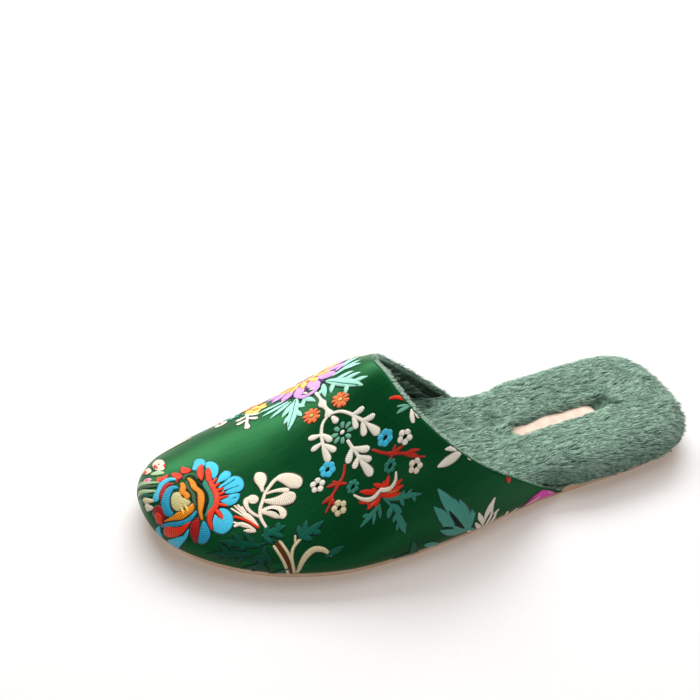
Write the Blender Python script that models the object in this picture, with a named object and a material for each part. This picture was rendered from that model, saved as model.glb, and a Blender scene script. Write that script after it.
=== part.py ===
"""House slipper for the left foot: closed toe, open heel, standing flat on its sole.

+Z is up, the toe points to -Y and the outer (lateral) side of the foot is +X. The origin lies on
the floor, under the middle of the slipper. From the floor up the pieces are a thin outsole, a
padded footbed with a narrow recess in the heel, the woven label that lies in that recess, and
the hollow upper. They share one plan outline, so a change to its table moves them together.

Plan positions are given as a station, which is the distance from the back of the heel towards
the toe, and a side, which is +1 for lateral and -1 for medial.
"""
import math

import bmesh
import bpy
from mathutils import Matrix, Vector

MM = 0.001

# Plan outline at the widest level. Stations and half widths are in mm, and the half widths are
# measured from the line through the middle of the heel, before the ends are rounded.
LENGTH = 270 * MM
STATION, LATERAL, MEDIAL = 0, 1, 2
PLAN = (
    (0, 37.0, 37.0),
    (43, 37.0, 35.5),
    (84, 37.0, 36.5),
    (108, 39.0, 43.5),
    (134, 42.5, 55.5),
    (160, 43.8, 65.5),
    (190, 43.0, 70.0),
    (216, 39.5, 71.5),
    (270, 25.0, 76.5),
)
HEEL_CAP = 48 * MM        # length over which the outline closes at the heel
HEEL_POWER = 3.2          # squareness of the heel, 2 being an ellipse
TOE_CAP = 103 * MM
TOE_POWER = 2.35
STATIONS = 56             # cross rows along each side of the outline
FINE_STATIONS = 1200      # steps with which the outline is measured

# Outsole
SOLE_THICK = 5.0 * MM
SOLE_INSET = 5.0 * MM     # the padding and the upper stand out this far over the sole's edge
SOLE_ROUND = 1.0 * MM     # softened lower edge
SOLE_ROUND_STEP = 0.3     # share of that rounding at its middle ring
TOE_SPRING = 2.0 * MM     # rise of the toe tip off the floor
SPRING_START = 222 * MM

# Footbed: top height over the floor along the foot, in mm, and its soft edges
BED_TOP = 1
BED = (
    (0, 21.0),
    (85, 20.5),
    (130, 18.0),
    (180, 14.0),
    (270, 12.0),
)
BED_ROUND = 10.0 * MM     # radius of the upper edge at the heel
BED_ROUND_STEPS = (0, 25, 50, 72, 90)  # rings around that edge, in degrees
BED_SIDE = 3.5 * MM       # least height of the straight side under that edge
BED_UNDER = 5.2 * MM      # how far the lower edge turns in
BED_UNDER_IN = 0.38       # share of that turn, and of the side's height, at its middle ring
BED_UNDER_UP = 0.35
BED_DISH = 1.2 * MM       # hollow for the heel and the ball of the foot
BED_SLACK = 1.2 * MM      # room between the pad and the upper that wraps it
BED_ENTRY = 30 * MM       # length over which the pad narrows to enter the upper
BED_LEAD = 22 * MM        # how far behind the upper's ends that begins
BED_COLUMNS = 6           # strips across the top

# Recess in the heel and the label at its bottom, both along the heel's own middle line
RECESS_LENGTH = 60 * MM
RECESS_WIDTH = 11.0 * MM
RECESS_DEPTH = 6.0 * MM
RECESS_STEPS = 8          # segments around each round end
CUT_ABOVE = 5.0 * MM      # the cutter stands this far over the pad
LABEL_STATION = 64.5 * MM
LABEL_LENGTH = 46.5 * MM
LABEL_WIDTH = 8.6 * MM
LABEL_THICK = 0.8 * MM

# Upper: height of the crest over the sole, in mm, from the collar's peak to the toe
CREST_HEIGHT = 1
CREST = (
    (60, 78.0),
    (156.5, 65.5),
    (175, 52.0),
    (194, 38.5),
    (212, 29.5),
    (230, 24.8),
    (250, 23.2),
    (270, 23.0),
)
NOSE_LENGTH = 23 * MM     # the crest rounds down over this length at the toe
NOSE_SHARE = 0.48         # share of the crest's height that stands at the very tip
SECTION_POWER = 1.7       # roundness of the cross sections over the side walls
WALL = 2.6 * MM           # face fabric, padding and lining together
WALL_LEVEL = 7.0 * MM     # the side walls are widest this far above the sole
WALL_TUCK = 4.0 * MM      # below that level they turn in by this much
COLLAR_PEAK = 156.5 * MM  # station of the collar at the crest
COLLAR_END = {1: 80.5 * MM, -1: 90.5 * MM}  # where it meets the sole on each side
COLLAR_POWER = 2.16       # how late the collar's edge swings back along the sides
END_LEVEL = 1.0 * MM      # height of the upper's tapered ends
END_RUN = 32 * MM         # they grow to the full side wall over this length
END_SHARE = 0.4           # share of the tuck by which the ends lie back from the outline
UPPER_ROWS = 18           # rows from the crest down each side
UPPER_COLUMNS = 33        # columns from the collar to the toe
TUCK_ROWS = 3
SLOPE_STEP = 0.01         # share of the way to the toe over which the side's run is read
WELD = 0.01 * MM          # coinciding points at the toe are merged

GAP = 0.3 * MM            # clearance between touching pieces
SHARP_ANGLE = math.radians(40)


def smooth(value):
    """Ease from 0 to 1, level at both ends."""
    value = min(max(value, 0.0), 1.0)
    return value * value * (3 - 2 * value)


def read(table, column, station):
    """Read a column of a table in mm through a smooth curve that never overshoots."""
    where = min(max(station / MM, table[0][0]), table[-1][0])
    span = [table[i + 1][0] - table[i][0] for i in range(len(table) - 1)]
    slope = [(table[i + 1][column] - table[i][column]) / span[i] for i in range(len(span))]
    i = 0
    while i < len(span) - 1 and where > table[i + 1][0]:
        i += 1

    def tangent(k):
        if k == 0:
            return slope[0]
        if k == len(span):
            return slope[-1]
        if slope[k - 1] * slope[k] <= 0:
            return 0.0
        return 2 * slope[k - 1] * slope[k] / (slope[k - 1] + slope[k])

    f = (where - table[i][0]) / span[i]
    start = table[i][column]
    end = table[i + 1][column]
    value = start + (end - start) * f * f * (3 - 2 * f)
    value += span[i] * f * (1 - f) * ((1 - f) * tangent(i) - f * tangent(i + 1))
    return value * MM


def superellipse(share, power):
    """Width left at a share of the way (0 to 1) to the end of a rounded cap."""
    return (1 - min(max(share, 0.0), 1.0) ** power) ** (1 / power)


def middle_and_half(station):
    """Middle line and half width of the plan outline at a station."""
    lateral = read(PLAN, LATERAL, station)
    medial = -read(PLAN, MEDIAL, station)
    heel = superellipse((HEEL_CAP - station) / HEEL_CAP, HEEL_POWER)
    toe = superellipse((station - LENGTH + TOE_CAP) / TOE_CAP, TOE_POWER)
    return (lateral + medial) / 2, (lateral - medial) / 2 * heel * toe


def even_stations():
    """Stations from heel to toe, evenly spaced along the outline itself."""
    steps = range(FINE_STATIONS + 1)
    fine = [LENGTH * (1 - math.cos(math.pi * i / FINE_STATIONS)) / 2 for i in steps]
    half = [middle_and_half(station)[1] for station in fine]
    run = [0.0]
    for i in range(1, len(fine)):
        run.append(run[-1] + math.hypot(fine[i] - fine[i - 1], half[i] - half[i - 1]))
    stations = []
    i = 0
    for k in range(STATIONS + 1):
        while i < len(run) - 2 and run[i + 1] < run[-1] * k / STATIONS:
            i += 1
        share = (run[-1] * k / STATIONS - run[i]) / (run[i + 1] - run[i])
        stations.append(fine[i] + (fine[i + 1] - fine[i]) * share)
    return stations


def plan_ring():
    """The outline as (x, station, side, outward normal), heel, lateral side, toe, medial side."""
    stations = even_stations()
    points = []
    for station in stations:
        middle, half = middle_and_half(station)
        points.append((middle + half, station, 1))
    for station in reversed(stations[1:-1]):
        middle, half = middle_and_half(station)
        points.append((middle - half, station, -1))
    ring = []
    for i, (x, station, side) in enumerate(points):
        before = points[i - 1]
        after = points[(i + 1) % len(points)]
        along = Vector((after[0] - before[0], after[1] - before[1])).normalized()
        ring.append((x, station, side, Vector((along.y, -along.x))))
    return ring


RING = plan_ring()
TURN = math.atan2(-middle_and_half(LENGTH)[0], LENGTH)  # sets heel and toe tip on one line


def spring(station):
    """Rise of everything at the toe."""
    return TOE_SPRING * max(0.0, (station - SPRING_START) / (LENGTH - SPRING_START)) ** 2


def turned(x, station):
    """Plan position after the turn, still measured from the back of the heel."""
    return Matrix.Rotation(TURN, 2) @ Vector((x, -station))


def box_middle():
    """Middle of the outline's bounding box after the turn."""
    plan = [turned(x, station) for x, station, side, normal in RING]
    xs = [p.x for p in plan]
    ys = [p.y for p in plan]
    return Vector(((min(xs) + max(xs)) / 2, (min(ys) + max(ys)) / 2))


MIDDLE = box_middle()


def place(x, station, z):
    """World position of a point given by its plan position and its height over the floor."""
    flat = turned(x, station) - MIDDLE
    return Vector((flat.x, flat.y, z + spring(station)))


def collar_growth(station, side):
    """0 at the upper's tapered end on a side, 1 where its side wall has full height."""
    return smooth((station - COLLAR_END[side]) / END_RUN)


def upper_inset(station, side):
    """The tapered ends lie in line with the sole, and the rest stands out over it."""
    return WALL_TUCK * (1 - collar_growth(station, side)) * END_SHARE


def bed_inset(station, side):
    """The footbed fills the outline behind the collar and fits inside the upper before it."""
    covered = smooth((station - COLLAR_END[side] + BED_LEAD) / BED_ENTRY)
    return covered * (upper_inset(station, side) + WALL + BED_SLACK)


def add_object(name, bm, colour, roughness):
    """Turn a bmesh into a named object with its own material."""
    bmesh.ops.recalc_face_normals(bm, faces=bm.faces)
    mesh = bpy.data.meshes.new(name)
    bm.to_mesh(mesh)
    bm.free()
    material = bpy.data.materials.new(name)
    material.use_nodes = True
    shader = material.node_tree.nodes["Principled BSDF"]
    shader.inputs["Base Color"].default_value = (*colour, 1.0)
    shader.inputs["Roughness"].default_value = roughness
    shader.inputs["Metallic"].default_value = 0.0
    mesh.materials.append(material)
    mesh.shade_smooth()
    mesh.set_sharp_from_angle(angle=SHARP_ANGLE)
    piece = bpy.data.objects.new(name, mesh)
    bpy.context.scene.collection.objects.link(piece)
    return piece


def ring_verts(bm, inset, height):
    """A ring of vertices at an inset and a height, both functions of station and side."""
    verts = []
    for x, station, side, normal in RING:
        back = inset(station, side)
        moved_station = station - normal.y * back
        verts.append(bm.verts.new(place(x - normal.x * back, moved_station, height(station))))
    return verts


def bridge(bm, lower, upper):
    """Close the band between two rings with quads."""
    for i in range(len(lower)):
        k = (i + 1) % len(lower)
        bm.faces.new((lower[i], lower[k], upper[k], upper[i]))


def fill_across(bm, ring, columns, dish):
    """Fill a ring with strips that run from the lateral to the medial side."""
    half = len(ring) // 2
    rows = [[ring[0]]]
    for i in range(1, half):
        lateral = ring[i]
        medial = ring[-i]
        row = [lateral]
        for k in range(1, columns):
            share = k / columns
            low = dish * (1 - (2 * share - 1) ** 2) * math.sin(math.pi * i / half)
            point = lateral.co.lerp(medial.co, share) - Vector((0, 0, low))
            row.append(bm.verts.new(point))
        rows.append(row + [medial])
    rows.append([ring[half]])
    for a, b in zip(rows, rows[1:]):
        for k in range(columns):
            corners = [a[min(k, len(a) - 1)], a[min(k + 1, len(a) - 1)]]
            corners += [b[min(k + 1, len(b) - 1)], b[min(k, len(b) - 1)]]
            bm.faces.new(list(dict.fromkeys(corners)))


def build_outsole():
    """A flat sheet of rubber with a softened lower edge."""
    bm = bmesh.new()
    edge = SOLE_INSET
    bottom = ring_verts(bm, lambda s, side: edge + SOLE_ROUND, lambda s: 0.0)
    step = SOLE_ROUND_STEP * SOLE_ROUND
    low = ring_verts(bm, lambda s, side: edge + step, lambda s: step)
    wall = ring_verts(bm, lambda s, side: edge, lambda s: SOLE_ROUND)
    top = ring_verts(bm, lambda s, side: edge, lambda s: SOLE_THICK)
    bridge(bm, bottom, low)
    bridge(bm, low, wall)
    bridge(bm, wall, top)
    fill_across(bm, bottom, 2, 0.0)
    fill_across(bm, top, 2, 0.0)
    return add_object("outsole", bm, (0.23, 0.17, 0.12), 0.6)


def bed_top(station):
    """Height of the footbed's upper face."""
    return read(BED, BED_TOP, station)


def bed_round(station):
    """Edge radius, kept smaller than the pad where it is thin."""
    return min(BED_ROUND, bed_top(station) - SOLE_THICK - BED_SIDE)


def build_footbed():
    """The foam pad in its plush cover, with the recess cut out of the heel."""
    bm = bmesh.new()
    rings = [
        ring_verts(bm, lambda s, side: bed_inset(s, side) + BED_UNDER,
                   lambda s: SOLE_THICK + GAP),
        ring_verts(bm, lambda s, side: bed_inset(s, side) + BED_UNDER_IN * BED_UNDER,
                   lambda s: SOLE_THICK + BED_UNDER_UP * (bed_top(s) - bed_round(s) - SOLE_THICK)),
    ]
    for degrees in BED_ROUND_STEPS:
        turn = math.radians(degrees)
        rings.append(ring_verts(
            bm,
            lambda s, side: bed_inset(s, side) + bed_round(s) * (1 - math.cos(turn)),
            lambda s: bed_top(s) - bed_round(s) * (1 - math.sin(turn))))
    for lower, upper in zip(rings, rings[1:]):
        bridge(bm, lower, upper)
    fill_across(bm, rings[0], 2, 0.0)
    fill_across(bm, rings[-1], BED_COLUMNS, BED_DISH)
    bed = add_object("footbed", bm, (0.24, 0.38, 0.29), 0.95)
    cut = bed.modifiers.new("recess", "BOOLEAN")
    cut.operation = "DIFFERENCE"
    cut.solver = "EXACT"
    cut.object = build_recess_cutter()
    return bed


def stadium(length, width, steps):
    """Outline of a slot with round ends, about the origin, long way along Y."""
    radius = width / 2
    points = []
    for sign in (1, -1):
        for i in range(steps + 1):
            turn = math.pi * i / steps + (0 if sign > 0 else math.pi)
            reach = sign * (length / 2 - radius)
            points.append((radius * math.cos(turn), radius * math.sin(turn) + reach))
    return points


def slot_solid(outline, bottom, top):
    """Extrude an outline that lies along the heel's middle line between two heights."""
    bm = bmesh.new()
    low = [bm.verts.new(place(x, LABEL_STATION + y, bottom)) for x, y in outline]
    high = [bm.verts.new(place(x, LABEL_STATION + y, top)) for x, y in outline]
    bridge(bm, low, high)
    bm.faces.new(low)
    bm.faces.new(high)
    return bm


def recess_floor():
    """Height of the recess's bottom over the floor."""
    return bed_top(LABEL_STATION) - RECESS_DEPTH


def build_recess_cutter():
    """The slot that is taken out of the footbed."""
    outline = stadium(RECESS_LENGTH, RECESS_WIDTH, RECESS_STEPS)
    above = bed_top(LABEL_STATION) + CUT_ABOVE
    cutter = add_object("recess_cutter", slot_solid(outline, recess_floor(), above), (1, 1, 1), 1.0)
    cutter.hide_render = True
    cutter.display_type = "WIRE"
    return cutter


def build_label():
    """A woven strip that lies in the recess."""
    across = LABEL_WIDTH / 2
    along = LABEL_LENGTH / 2
    outline = ((across, -along), (across, along), (-across, along), (-across, -along))
    low = recess_floor() + GAP
    return add_object("label", slot_solid(outline, low, low + LABEL_THICK), (0.78, 0.66, 0.62), 0.8)


def crest(station):
    """Height of the crest over the sole, rounded down at the toe."""
    share = min(max((station - LENGTH + NOSE_LENGTH) / NOSE_LENGTH, 0.0), 1.0)
    nose = NOSE_SHARE + (1 - NOSE_SHARE) * math.sqrt(1 - share * share)
    return read(CREST, CREST_HEIGHT, station) * nose


def upper_point(across, along):
    """Outer face of the upper: across from -1 medial to 1 lateral, along from collar to toe."""
    side = 1 if across >= 0 else -1
    start = COLLAR_PEAK + (COLLAR_END[side] - COLLAR_PEAK) * abs(across) ** COLLAR_POWER
    station = start + (LENGTH - start) * math.sin(along * math.pi / 2)
    share = math.sin(across * math.pi / 2)
    middle, half = middle_and_half(station)
    level = END_LEVEL + (WALL_LEVEL - END_LEVEL) * collar_growth(station, side)
    rise = (1 - abs(share) ** SECTION_POWER) ** (1 / SECTION_POWER)
    reach = max(half - upper_inset(station, side), 0.0)
    height = SOLE_THICK + level + (crest(station) - level) * rise
    return middle + share * reach, station, height, level


def tucked_point(side, along, step):
    """Below its widest level the side wall turns in under the upper, along the plan normal."""
    x, station, height, level = upper_point(side, along)
    turn = math.pi / 2 * step / TUCK_ROWS
    back = (WALL_TUCK - upper_inset(station, side)) * (1 - math.cos(turn))
    ahead = upper_point(side, min(along + SLOPE_STEP, 1.0))
    behind = upper_point(side, max(along - SLOPE_STEP, 0.0))
    way = Vector((ahead[0] - behind[0], ahead[1] - behind[1])).normalized()
    normal = Vector((side * way.y, -side * way.x))
    if along >= 1.0:
        normal = Vector((0, 1))
    low = SOLE_THICK + GAP
    return x - normal.x * back, station - normal.y * back, low + (height - low) * (1 - math.sin(turn))


def build_upper():
    """One hollow shell with a real wall, open at the collar and underneath."""
    bm = bmesh.new()
    grid = []
    for k in range(UPPER_COLUMNS + 1):
        along = k / UPPER_COLUMNS
        row = [place(*tucked_point(-1, along, step)) for step in range(TUCK_ROWS, 0, -1)]
        for i in range(-UPPER_ROWS, UPPER_ROWS + 1):
            row.append(place(*upper_point(i / UPPER_ROWS, along)[:3]))
        row += [place(*tucked_point(1, along, step)) for step in range(1, TUCK_ROWS + 1)]
        grid.append([bm.verts.new(point) for point in row])
    for a, b in zip(grid, grid[1:]):
        for i in range(len(a) - 1):
            bm.faces.new((a[i], a[i + 1], b[i + 1], b[i]))
    bmesh.ops.remove_doubles(bm, verts=bm.verts, dist=WELD)
    bmesh.ops.recalc_face_normals(bm, faces=bm.faces)
    bm.normal_update()
    add_wall(bm)
    return add_object("upper", bm, (0.01, 0.10, 0.04), 0.45)


def add_wall(bm):
    """Give the outer face its wall. Where the side turns in, the wall is measured level."""
    highest = max(bm.verts, key=lambda v: v.co.z)
    outwards = 1 if highest.normal.z > 0 else -1
    outer_faces = list(bm.faces)
    rim = [edge for edge in bm.edges if edge.is_boundary]
    inner = {}
    for vert in list(bm.verts):
        way = vert.normal * outwards
        way.z = max(way.z, 0.0)
        inner[vert] = bm.verts.new(vert.co - way.normalized() * WALL)
    for face in outer_faces:
        bm.faces.new([inner[vert] for vert in reversed(face.verts)])
    for edge in rim:
        a, b = edge.verts
        bm.faces.new((a, b, inner[b], inner[a]))


def clear_scene():
    """Start from an empty scene."""
    for old in list(bpy.data.objects):
        bpy.data.objects.remove(old, do_unlink=True)


clear_scene()
build_outsole()
build_footbed()
build_label()
build_upper()
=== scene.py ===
# %% [markdown]
# # A house slipper in satin and plush
#
# This file dresses the frame of a left slipper. The frame holds the true solids, and the cells
# below add the cloth, the pile, the needlework, the label and the light. Tables are in
# millimetres, and meshes are made in metres.

# %% Load the frame
import math

import bpy
import numpy as np
from mathutils import Matrix, Vector
from mathutils.kdtree import KDTree


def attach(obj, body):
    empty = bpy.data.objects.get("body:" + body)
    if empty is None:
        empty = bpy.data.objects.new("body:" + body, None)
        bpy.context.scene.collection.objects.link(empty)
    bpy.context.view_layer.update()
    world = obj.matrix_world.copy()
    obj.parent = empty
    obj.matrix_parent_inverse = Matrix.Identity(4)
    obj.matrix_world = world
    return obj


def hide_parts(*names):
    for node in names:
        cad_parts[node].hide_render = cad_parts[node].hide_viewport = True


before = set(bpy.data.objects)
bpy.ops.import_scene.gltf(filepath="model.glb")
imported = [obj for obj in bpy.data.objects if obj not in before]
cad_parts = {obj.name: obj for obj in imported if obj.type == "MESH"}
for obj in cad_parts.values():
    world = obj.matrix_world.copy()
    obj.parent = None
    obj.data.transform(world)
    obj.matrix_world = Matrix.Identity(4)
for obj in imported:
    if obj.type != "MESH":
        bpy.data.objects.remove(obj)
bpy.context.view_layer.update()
MM = 0.001
rng = np.random.default_rng(7)
print("nodes:", sorted(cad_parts))

# %% [markdown]
# ## The camera
#
# The view looks down on the outer side of the slipper from a little ahead of it, with a long
# lens and a slight roll. The camera is placed by its azimuth, its elevation and its distance,
# and is then slid in its own plane, so that the lens shift stays at zero.

# %% Camera
AZIMUTH, ELEVATION, ROLL = (math.radians(a) for a in (67.79, 38.89, 2.62))
DISTANCE = 0.72589
SLIDE = (-0.03708, 0.06565)
AIM = Vector((0.0084, 0.0010, 0.0))

back = Vector((math.sin(AZIMUTH) * math.cos(ELEVATION),
               -math.cos(AZIMUTH) * math.cos(ELEVATION),
               math.sin(ELEVATION)))
level = (-back).cross(Vector((0, 0, 1))).normalized()
upright = level.cross(-back)
right = level * math.cos(ROLL) + upright * math.sin(ROLL)
up = upright * math.cos(ROLL) - level * math.sin(ROLL)
bpy.ops.object.camera_add(location=AIM + back * DISTANCE + right * SLIDE[0] + up * SLIDE[1])
camera = bpy.context.object
camera.rotation_euler = Matrix((right, up, back)).transposed().to_euler()
camera.data.lens = 76.99
camera.data.sensor_width = 36
camera.data.dof.use_dof = False
bpy.context.scene.camera = camera
print("camera at", [round(v, 3) for v in camera.location])

# %% [markdown]
# ## Materials as short recipes
#
# Every finish below is a small tree of nodes round one Principled shader. Two helpers keep the
# cells short: one turns the colour that a dyer would match on a screen into the linear values
# that the shader expects, and one adds a node and sets its inputs in a single call. Values that
# are the same all over a surface are set on the shader itself.

# %% Material helpers
def dye(red, green, blue):
    """A screen colour from 0 to 255 as linear RGBA."""
    return tuple((c / 255) ** 2.2 for c in (red, green, blue)) + (1.0,)


def finish(name, roughness, **sockets):
    """A new material and its shader, with uniform values set straight on the shader."""
    made = bpy.data.materials.new(name)
    made.use_nodes = True
    shader = made.node_tree.nodes["Principled BSDF"]
    shader.inputs["Roughness"].default_value = roughness
    for socket, value in sockets.items():
        shader.inputs[socket.replace("_", " ")].default_value = value
    return made, shader


def node(made, kind, settings=None, **inputs):
    """Add a node. Inputs take a value or the output of another node."""
    added = made.node_tree.nodes.new(kind)
    for key, value in (settings or {}).items():
        setattr(added, key, value)
    for key, value in inputs.items():
        socket = added.inputs[key.replace("_", " ")]
        if isinstance(value, bpy.types.NodeSocket):
            made.node_tree.links.new(value, socket)
        else:
            socket.default_value = value
    return added


def link(made, output, socket):
    made.node_tree.links.new(output, socket)


def ramp(made, factor, *stops):
    """A colour ramp from (position, colour) stops."""
    added = node(made, "ShaderNodeValToRGB", Fac=factor)
    band = added.color_ramp
    while len(band.elements) < len(stops):
        band.elements.new(0.5)
    for element, (position, colour) in zip(band.elements, stops):
        element.position = position
        element.color = colour
    return added.outputs["Color"]


def place_map(made, source, scale):
    """Object coordinates or a UV map, scaled for a texture. Units are metres."""
    where = node(made, "ShaderNodeTexCoord").outputs[source]
    return node(made, "ShaderNodeMapping", Vector=where, Scale=scale).outputs["Vector"]


def noise(made, vector, scale, detail=2.0, rough=0.5):
    return node(made, "ShaderNodeTexNoise", Vector=vector, Scale=scale, Detail=detail,
                Roughness=rough).outputs["Fac"]


def multiply(made, first, second, share=1.0):
    """One colour times another. A share below 1 keeps some of the first one."""
    mix = node(made, "ShaderNodeMix", {"data_type": "RGBA", "blend_type": "MULTIPLY"})
    mix.inputs[0].default_value = share
    link(made, first, mix.inputs[6])
    link(made, second, mix.inputs[7])
    return mix.outputs[2]


def bump(made, height, distance, strength=1.0, below=None):
    """A bump of a real depth in metres, laid over another one if given."""
    inputs = {"Height": height, "Distance": distance, "Strength": strength}
    if below is not None:
        inputs["Normal"] = below
    return node(made, "ShaderNodeBump", **inputs).outputs["Normal"]


# %% [markdown]
# ## Floor and light
#
# The slipper stands on a pale light table: frosted glass that glows a little from below, which
# keeps shadows light and warm. A wide softbox behind and above it throws a soft shadow
# forward. It lights matte surfaces only, and so do the top and the front light. The satin's
# long highlight comes from a low strip, and a second strip adds a warm glint. Only shiny
# surfaces see these two, so their place and width can be set on their own. A pale surround
# fills the shadows.

# %% Floor
bpy.ops.object.select_all(action="DESELECT")
bpy.ops.mesh.primitive_grid_add(x_subdivisions=8, y_subdivisions=8, size=8.0)
floor = bpy.context.object
floor.name = "floor"
frosted, shader = finish("frosted_glass", 0.9, Specular_IOR_Level=0.2, Emission_Strength=1.0,
                         Emission_Color=(0.25, 0.19, 0.15, 1))
grain = noise(frosted, place_map(frosted, "Object", (1, 1, 1)), 900.0)
link(frosted, ramp(frosted, grain, (0.3, dye(168, 172, 176)), (0.7, dye(172, 176, 180))),
     shader.inputs["Base Color"])
floor.data.materials.append(frosted)

# %% Light
def softbox(name, azimuth, elevation, distance, size, power, colour, matte=True, shine=True):
    """An area light that looks at the middle of the slipper."""
    a, e = math.radians(azimuth), math.radians(elevation)
    way = Vector((math.sin(a) * math.cos(e), -math.cos(a) * math.cos(e), math.sin(e)))
    bpy.ops.object.light_add(type="AREA", location=way * distance + Vector((0, 0, 0.03)))
    lamp = bpy.context.object
    lamp.name = name
    lamp.rotation_euler = (-way).to_track_quat("-Z", "Y").to_euler()
    lamp.data.shape = "RECTANGLE"
    lamp.data.size, lamp.data.size_y = size
    lamp.data.energy = power
    lamp.data.color = colour
    lamp.visible_diffuse, lamp.visible_glossy = matte, shine
    return lamp


softbox("key", 255, 44, 1.5, (1.6, 0.8), 52, (1.0, 0.985, 0.96), shine=False)
softbox("strip", 274, 18, 1.5, (1.5, 0.34), 13, (0.62, 1.0, 0.74), matte=False)
softbox("glint", 262, 42, 1.5, (1.3, 0.3), 3.5, (1.0, 0.72, 0.45), matte=False)
softbox("top", 200, 82, 1.6, (1.5, 1.5), 19, (1.0, 1.0, 1.0), shine=False)
softbox("front", 48, 26, 1.8, (1.0, 1.0), 4.5, (1.0, 0.98, 0.96), shine=False)
world = bpy.data.worlds.new("surround")
world.use_nodes = True
world.node_tree.nodes["Background"].inputs["Color"].default_value = (1.0, 0.955, 0.91, 1)
world.node_tree.nodes["Background"].inputs["Strength"].default_value = 0.19
bpy.context.scene.world = world
bpy.context.scene.view_settings.view_transform = "Standard"

# %% [markdown]
# ## The last
#
# A slipper is shaped over a last, a solid foot form. The outline of its sole, the line of its
# crest and the roundness of its cross sections give every point of its skin. A station is the
# distance from the back of the heel towards the toe. A share runs across from the crest, 0, to
# the widest line of either side, 1 on the outer side and -1 on the inner one.

# %% Tables of the last
LENGTH = 270.0
LATERAL, MEDIAL, HEIGHT = 1, 2, 1
PLAN = np.array((
    # station, outer half width, inner half width
    (0, 37.0, 37.0), (43, 37.0, 35.5), (84, 37.0, 36.5), (108, 39.0, 43.5), (134, 42.5, 55.5),
    (160, 43.8, 65.5), (190, 43.0, 70.0), (216, 39.5, 71.5), (270, 25.0, 76.5)))
CREST = np.array((
    # station, height of the crest over the sole
    (60, 78.0), (156.5, 65.5), (175, 52.0), (194, 38.5), (212, 29.5), (230, 24.8),
    (250, 23.2), (270, 23.0)))
SOLE = 5.0
HEEL_CAP, HEEL_POWER = 48, 3.2   # the outline closes over these lengths at the heel
TOE_CAP, TOE_POWER = 103, 2.35   # and at the toe, with these powers
NOSE_LENGTH, NOSE_SHARE = 23, 0.48    # the crest rounds down at the toe to this share
TOE_SPRING, SPRING_START = 2.0, 222   # rise of the toe's tip off the floor
SECTION_POWER = 1.7              # roundness of the cross sections
SIDE_LEVEL = 7.0                 # the side is widest this far above the sole
TUCK = 4.0                       # and turns in by this much below
END_LEVEL, END_SHARE, END_RUN = 1.0, 0.4, 32   # level, inset and length of the tapered ends
COLLAR_PEAK = 156.5
COLLAR_END = {1: 80.5, -1: 90.5}
COLLAR_POWER = 2.16


def read(table, column, station):
    """Read a column through a smooth curve that never overshoots."""
    x, y = table[:, 0], table[:, column]
    at = np.clip(station, x[0], x[-1])
    span = np.diff(x)
    slope = np.diff(y) / span
    product = slope[:-1] * slope[1:]
    inner = np.where(product > 0, 2 * product / (slope[:-1] + slope[1:] + 1e-12), 0.0)
    tangent = np.concatenate(([slope[0]], inner, [slope[-1]]))
    i = np.clip(np.searchsorted(x, at) - 1, 0, len(span) - 1)
    f = (at - x[i]) / span[i]
    value = y[i] + (y[i + 1] - y[i]) * f * f * (3 - 2 * f)
    return value + span[i] * f * (1 - f) * ((1 - f) * tangent[i] - f * tangent[i + 1])


def rounded(share, power):
    return (1 - np.clip(share, 0, 1) ** power) ** (1 / power)


def ease(value):
    value = np.clip(value, 0, 1)
    return value * value * (3 - 2 * value)


def outline(station):
    """Middle line and half width of the plan at a station."""
    outer, inner = read(PLAN, LATERAL, station), -read(PLAN, MEDIAL, station)
    ends = (rounded((HEEL_CAP - station) / HEEL_CAP, HEEL_POWER)
            * rounded((station - LENGTH + TOE_CAP) / TOE_CAP, TOE_POWER))
    return (outer + inner) / 2, (outer - inner) / 2 * ends


def crest(station):
    nose = np.clip((station - LENGTH + NOSE_LENGTH) / NOSE_LENGTH, 0, 1)
    fall = NOSE_SHARE + (1 - NOSE_SHARE) * np.sqrt(1 - nose * nose)
    return read(CREST, HEIGHT, station) * fall


def side_growth(station, side):
    """0 at the upper's tapered end, 1 where its side has its full height."""
    return ease((station - np.where(side > 0, COLLAR_END[1], COLLAR_END[-1])) / END_RUN)


TURN = math.atan2(-outline(LENGTH)[0], LENGTH)
fine = LENGTH * (1 - np.cos(np.linspace(0, math.pi, 2400))) / 2
middle, half = outline(fine)
edge_x = np.concatenate((middle + half, middle - half))
edge_s = np.concatenate((fine, fine))
flat = np.stack((edge_x * math.cos(TURN) + edge_s * math.sin(TURN),
                 edge_x * math.sin(TURN) - edge_s * math.cos(TURN)))
MIDDLE = (flat.min(axis=1) + flat.max(axis=1)) / 2
print("turned by", round(math.degrees(TURN), 2), "degrees about", MIDDLE.round(2), "mm")


def place(x, station, z):
    """Position in the frame, in mm, of plan positions and heights over the floor."""
    beyond = np.clip((station - SPRING_START) / (LENGTH - SPRING_START), 0, None)
    rise = TOE_SPRING * beyond ** 2
    return np.stack(np.broadcast_arrays(
        x * math.cos(TURN) + station * math.sin(TURN) - MIDDLE[0],
        x * math.sin(TURN) - station * math.cos(TURN) - MIDDLE[1],
        z + rise), -1)


def skin(station, share):
    """Plan x, height, and the inset and level of the side for points of the last."""
    side = np.where(share >= 0, 1, -1)
    mid, width = outline(station)
    growth = side_growth(station, side)
    inset = TUCK * (1 - growth) * END_SHARE
    low = END_LEVEL + (SIDE_LEVEL - END_LEVEL) * growth
    rise = (1 - np.abs(share) ** SECTION_POWER) ** (1 / SECTION_POWER)
    reach = np.maximum(width - inset, 0)
    return mid + share * reach, SOLE + low + (crest(station) - low) * rise, inset, low


# %% [markdown]
# ## A tape measure over the last
#
# Needlework is planned on flat cloth, so each stitch has a place on a flat pattern: its station
# along the foot, and its girth, the length of tape from the crest line down the side. Girths
# are positive on the outer side. The tables below measure that tape once, and `wrap` then lays
# any pattern point on the last, at any height over the cloth.

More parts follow.
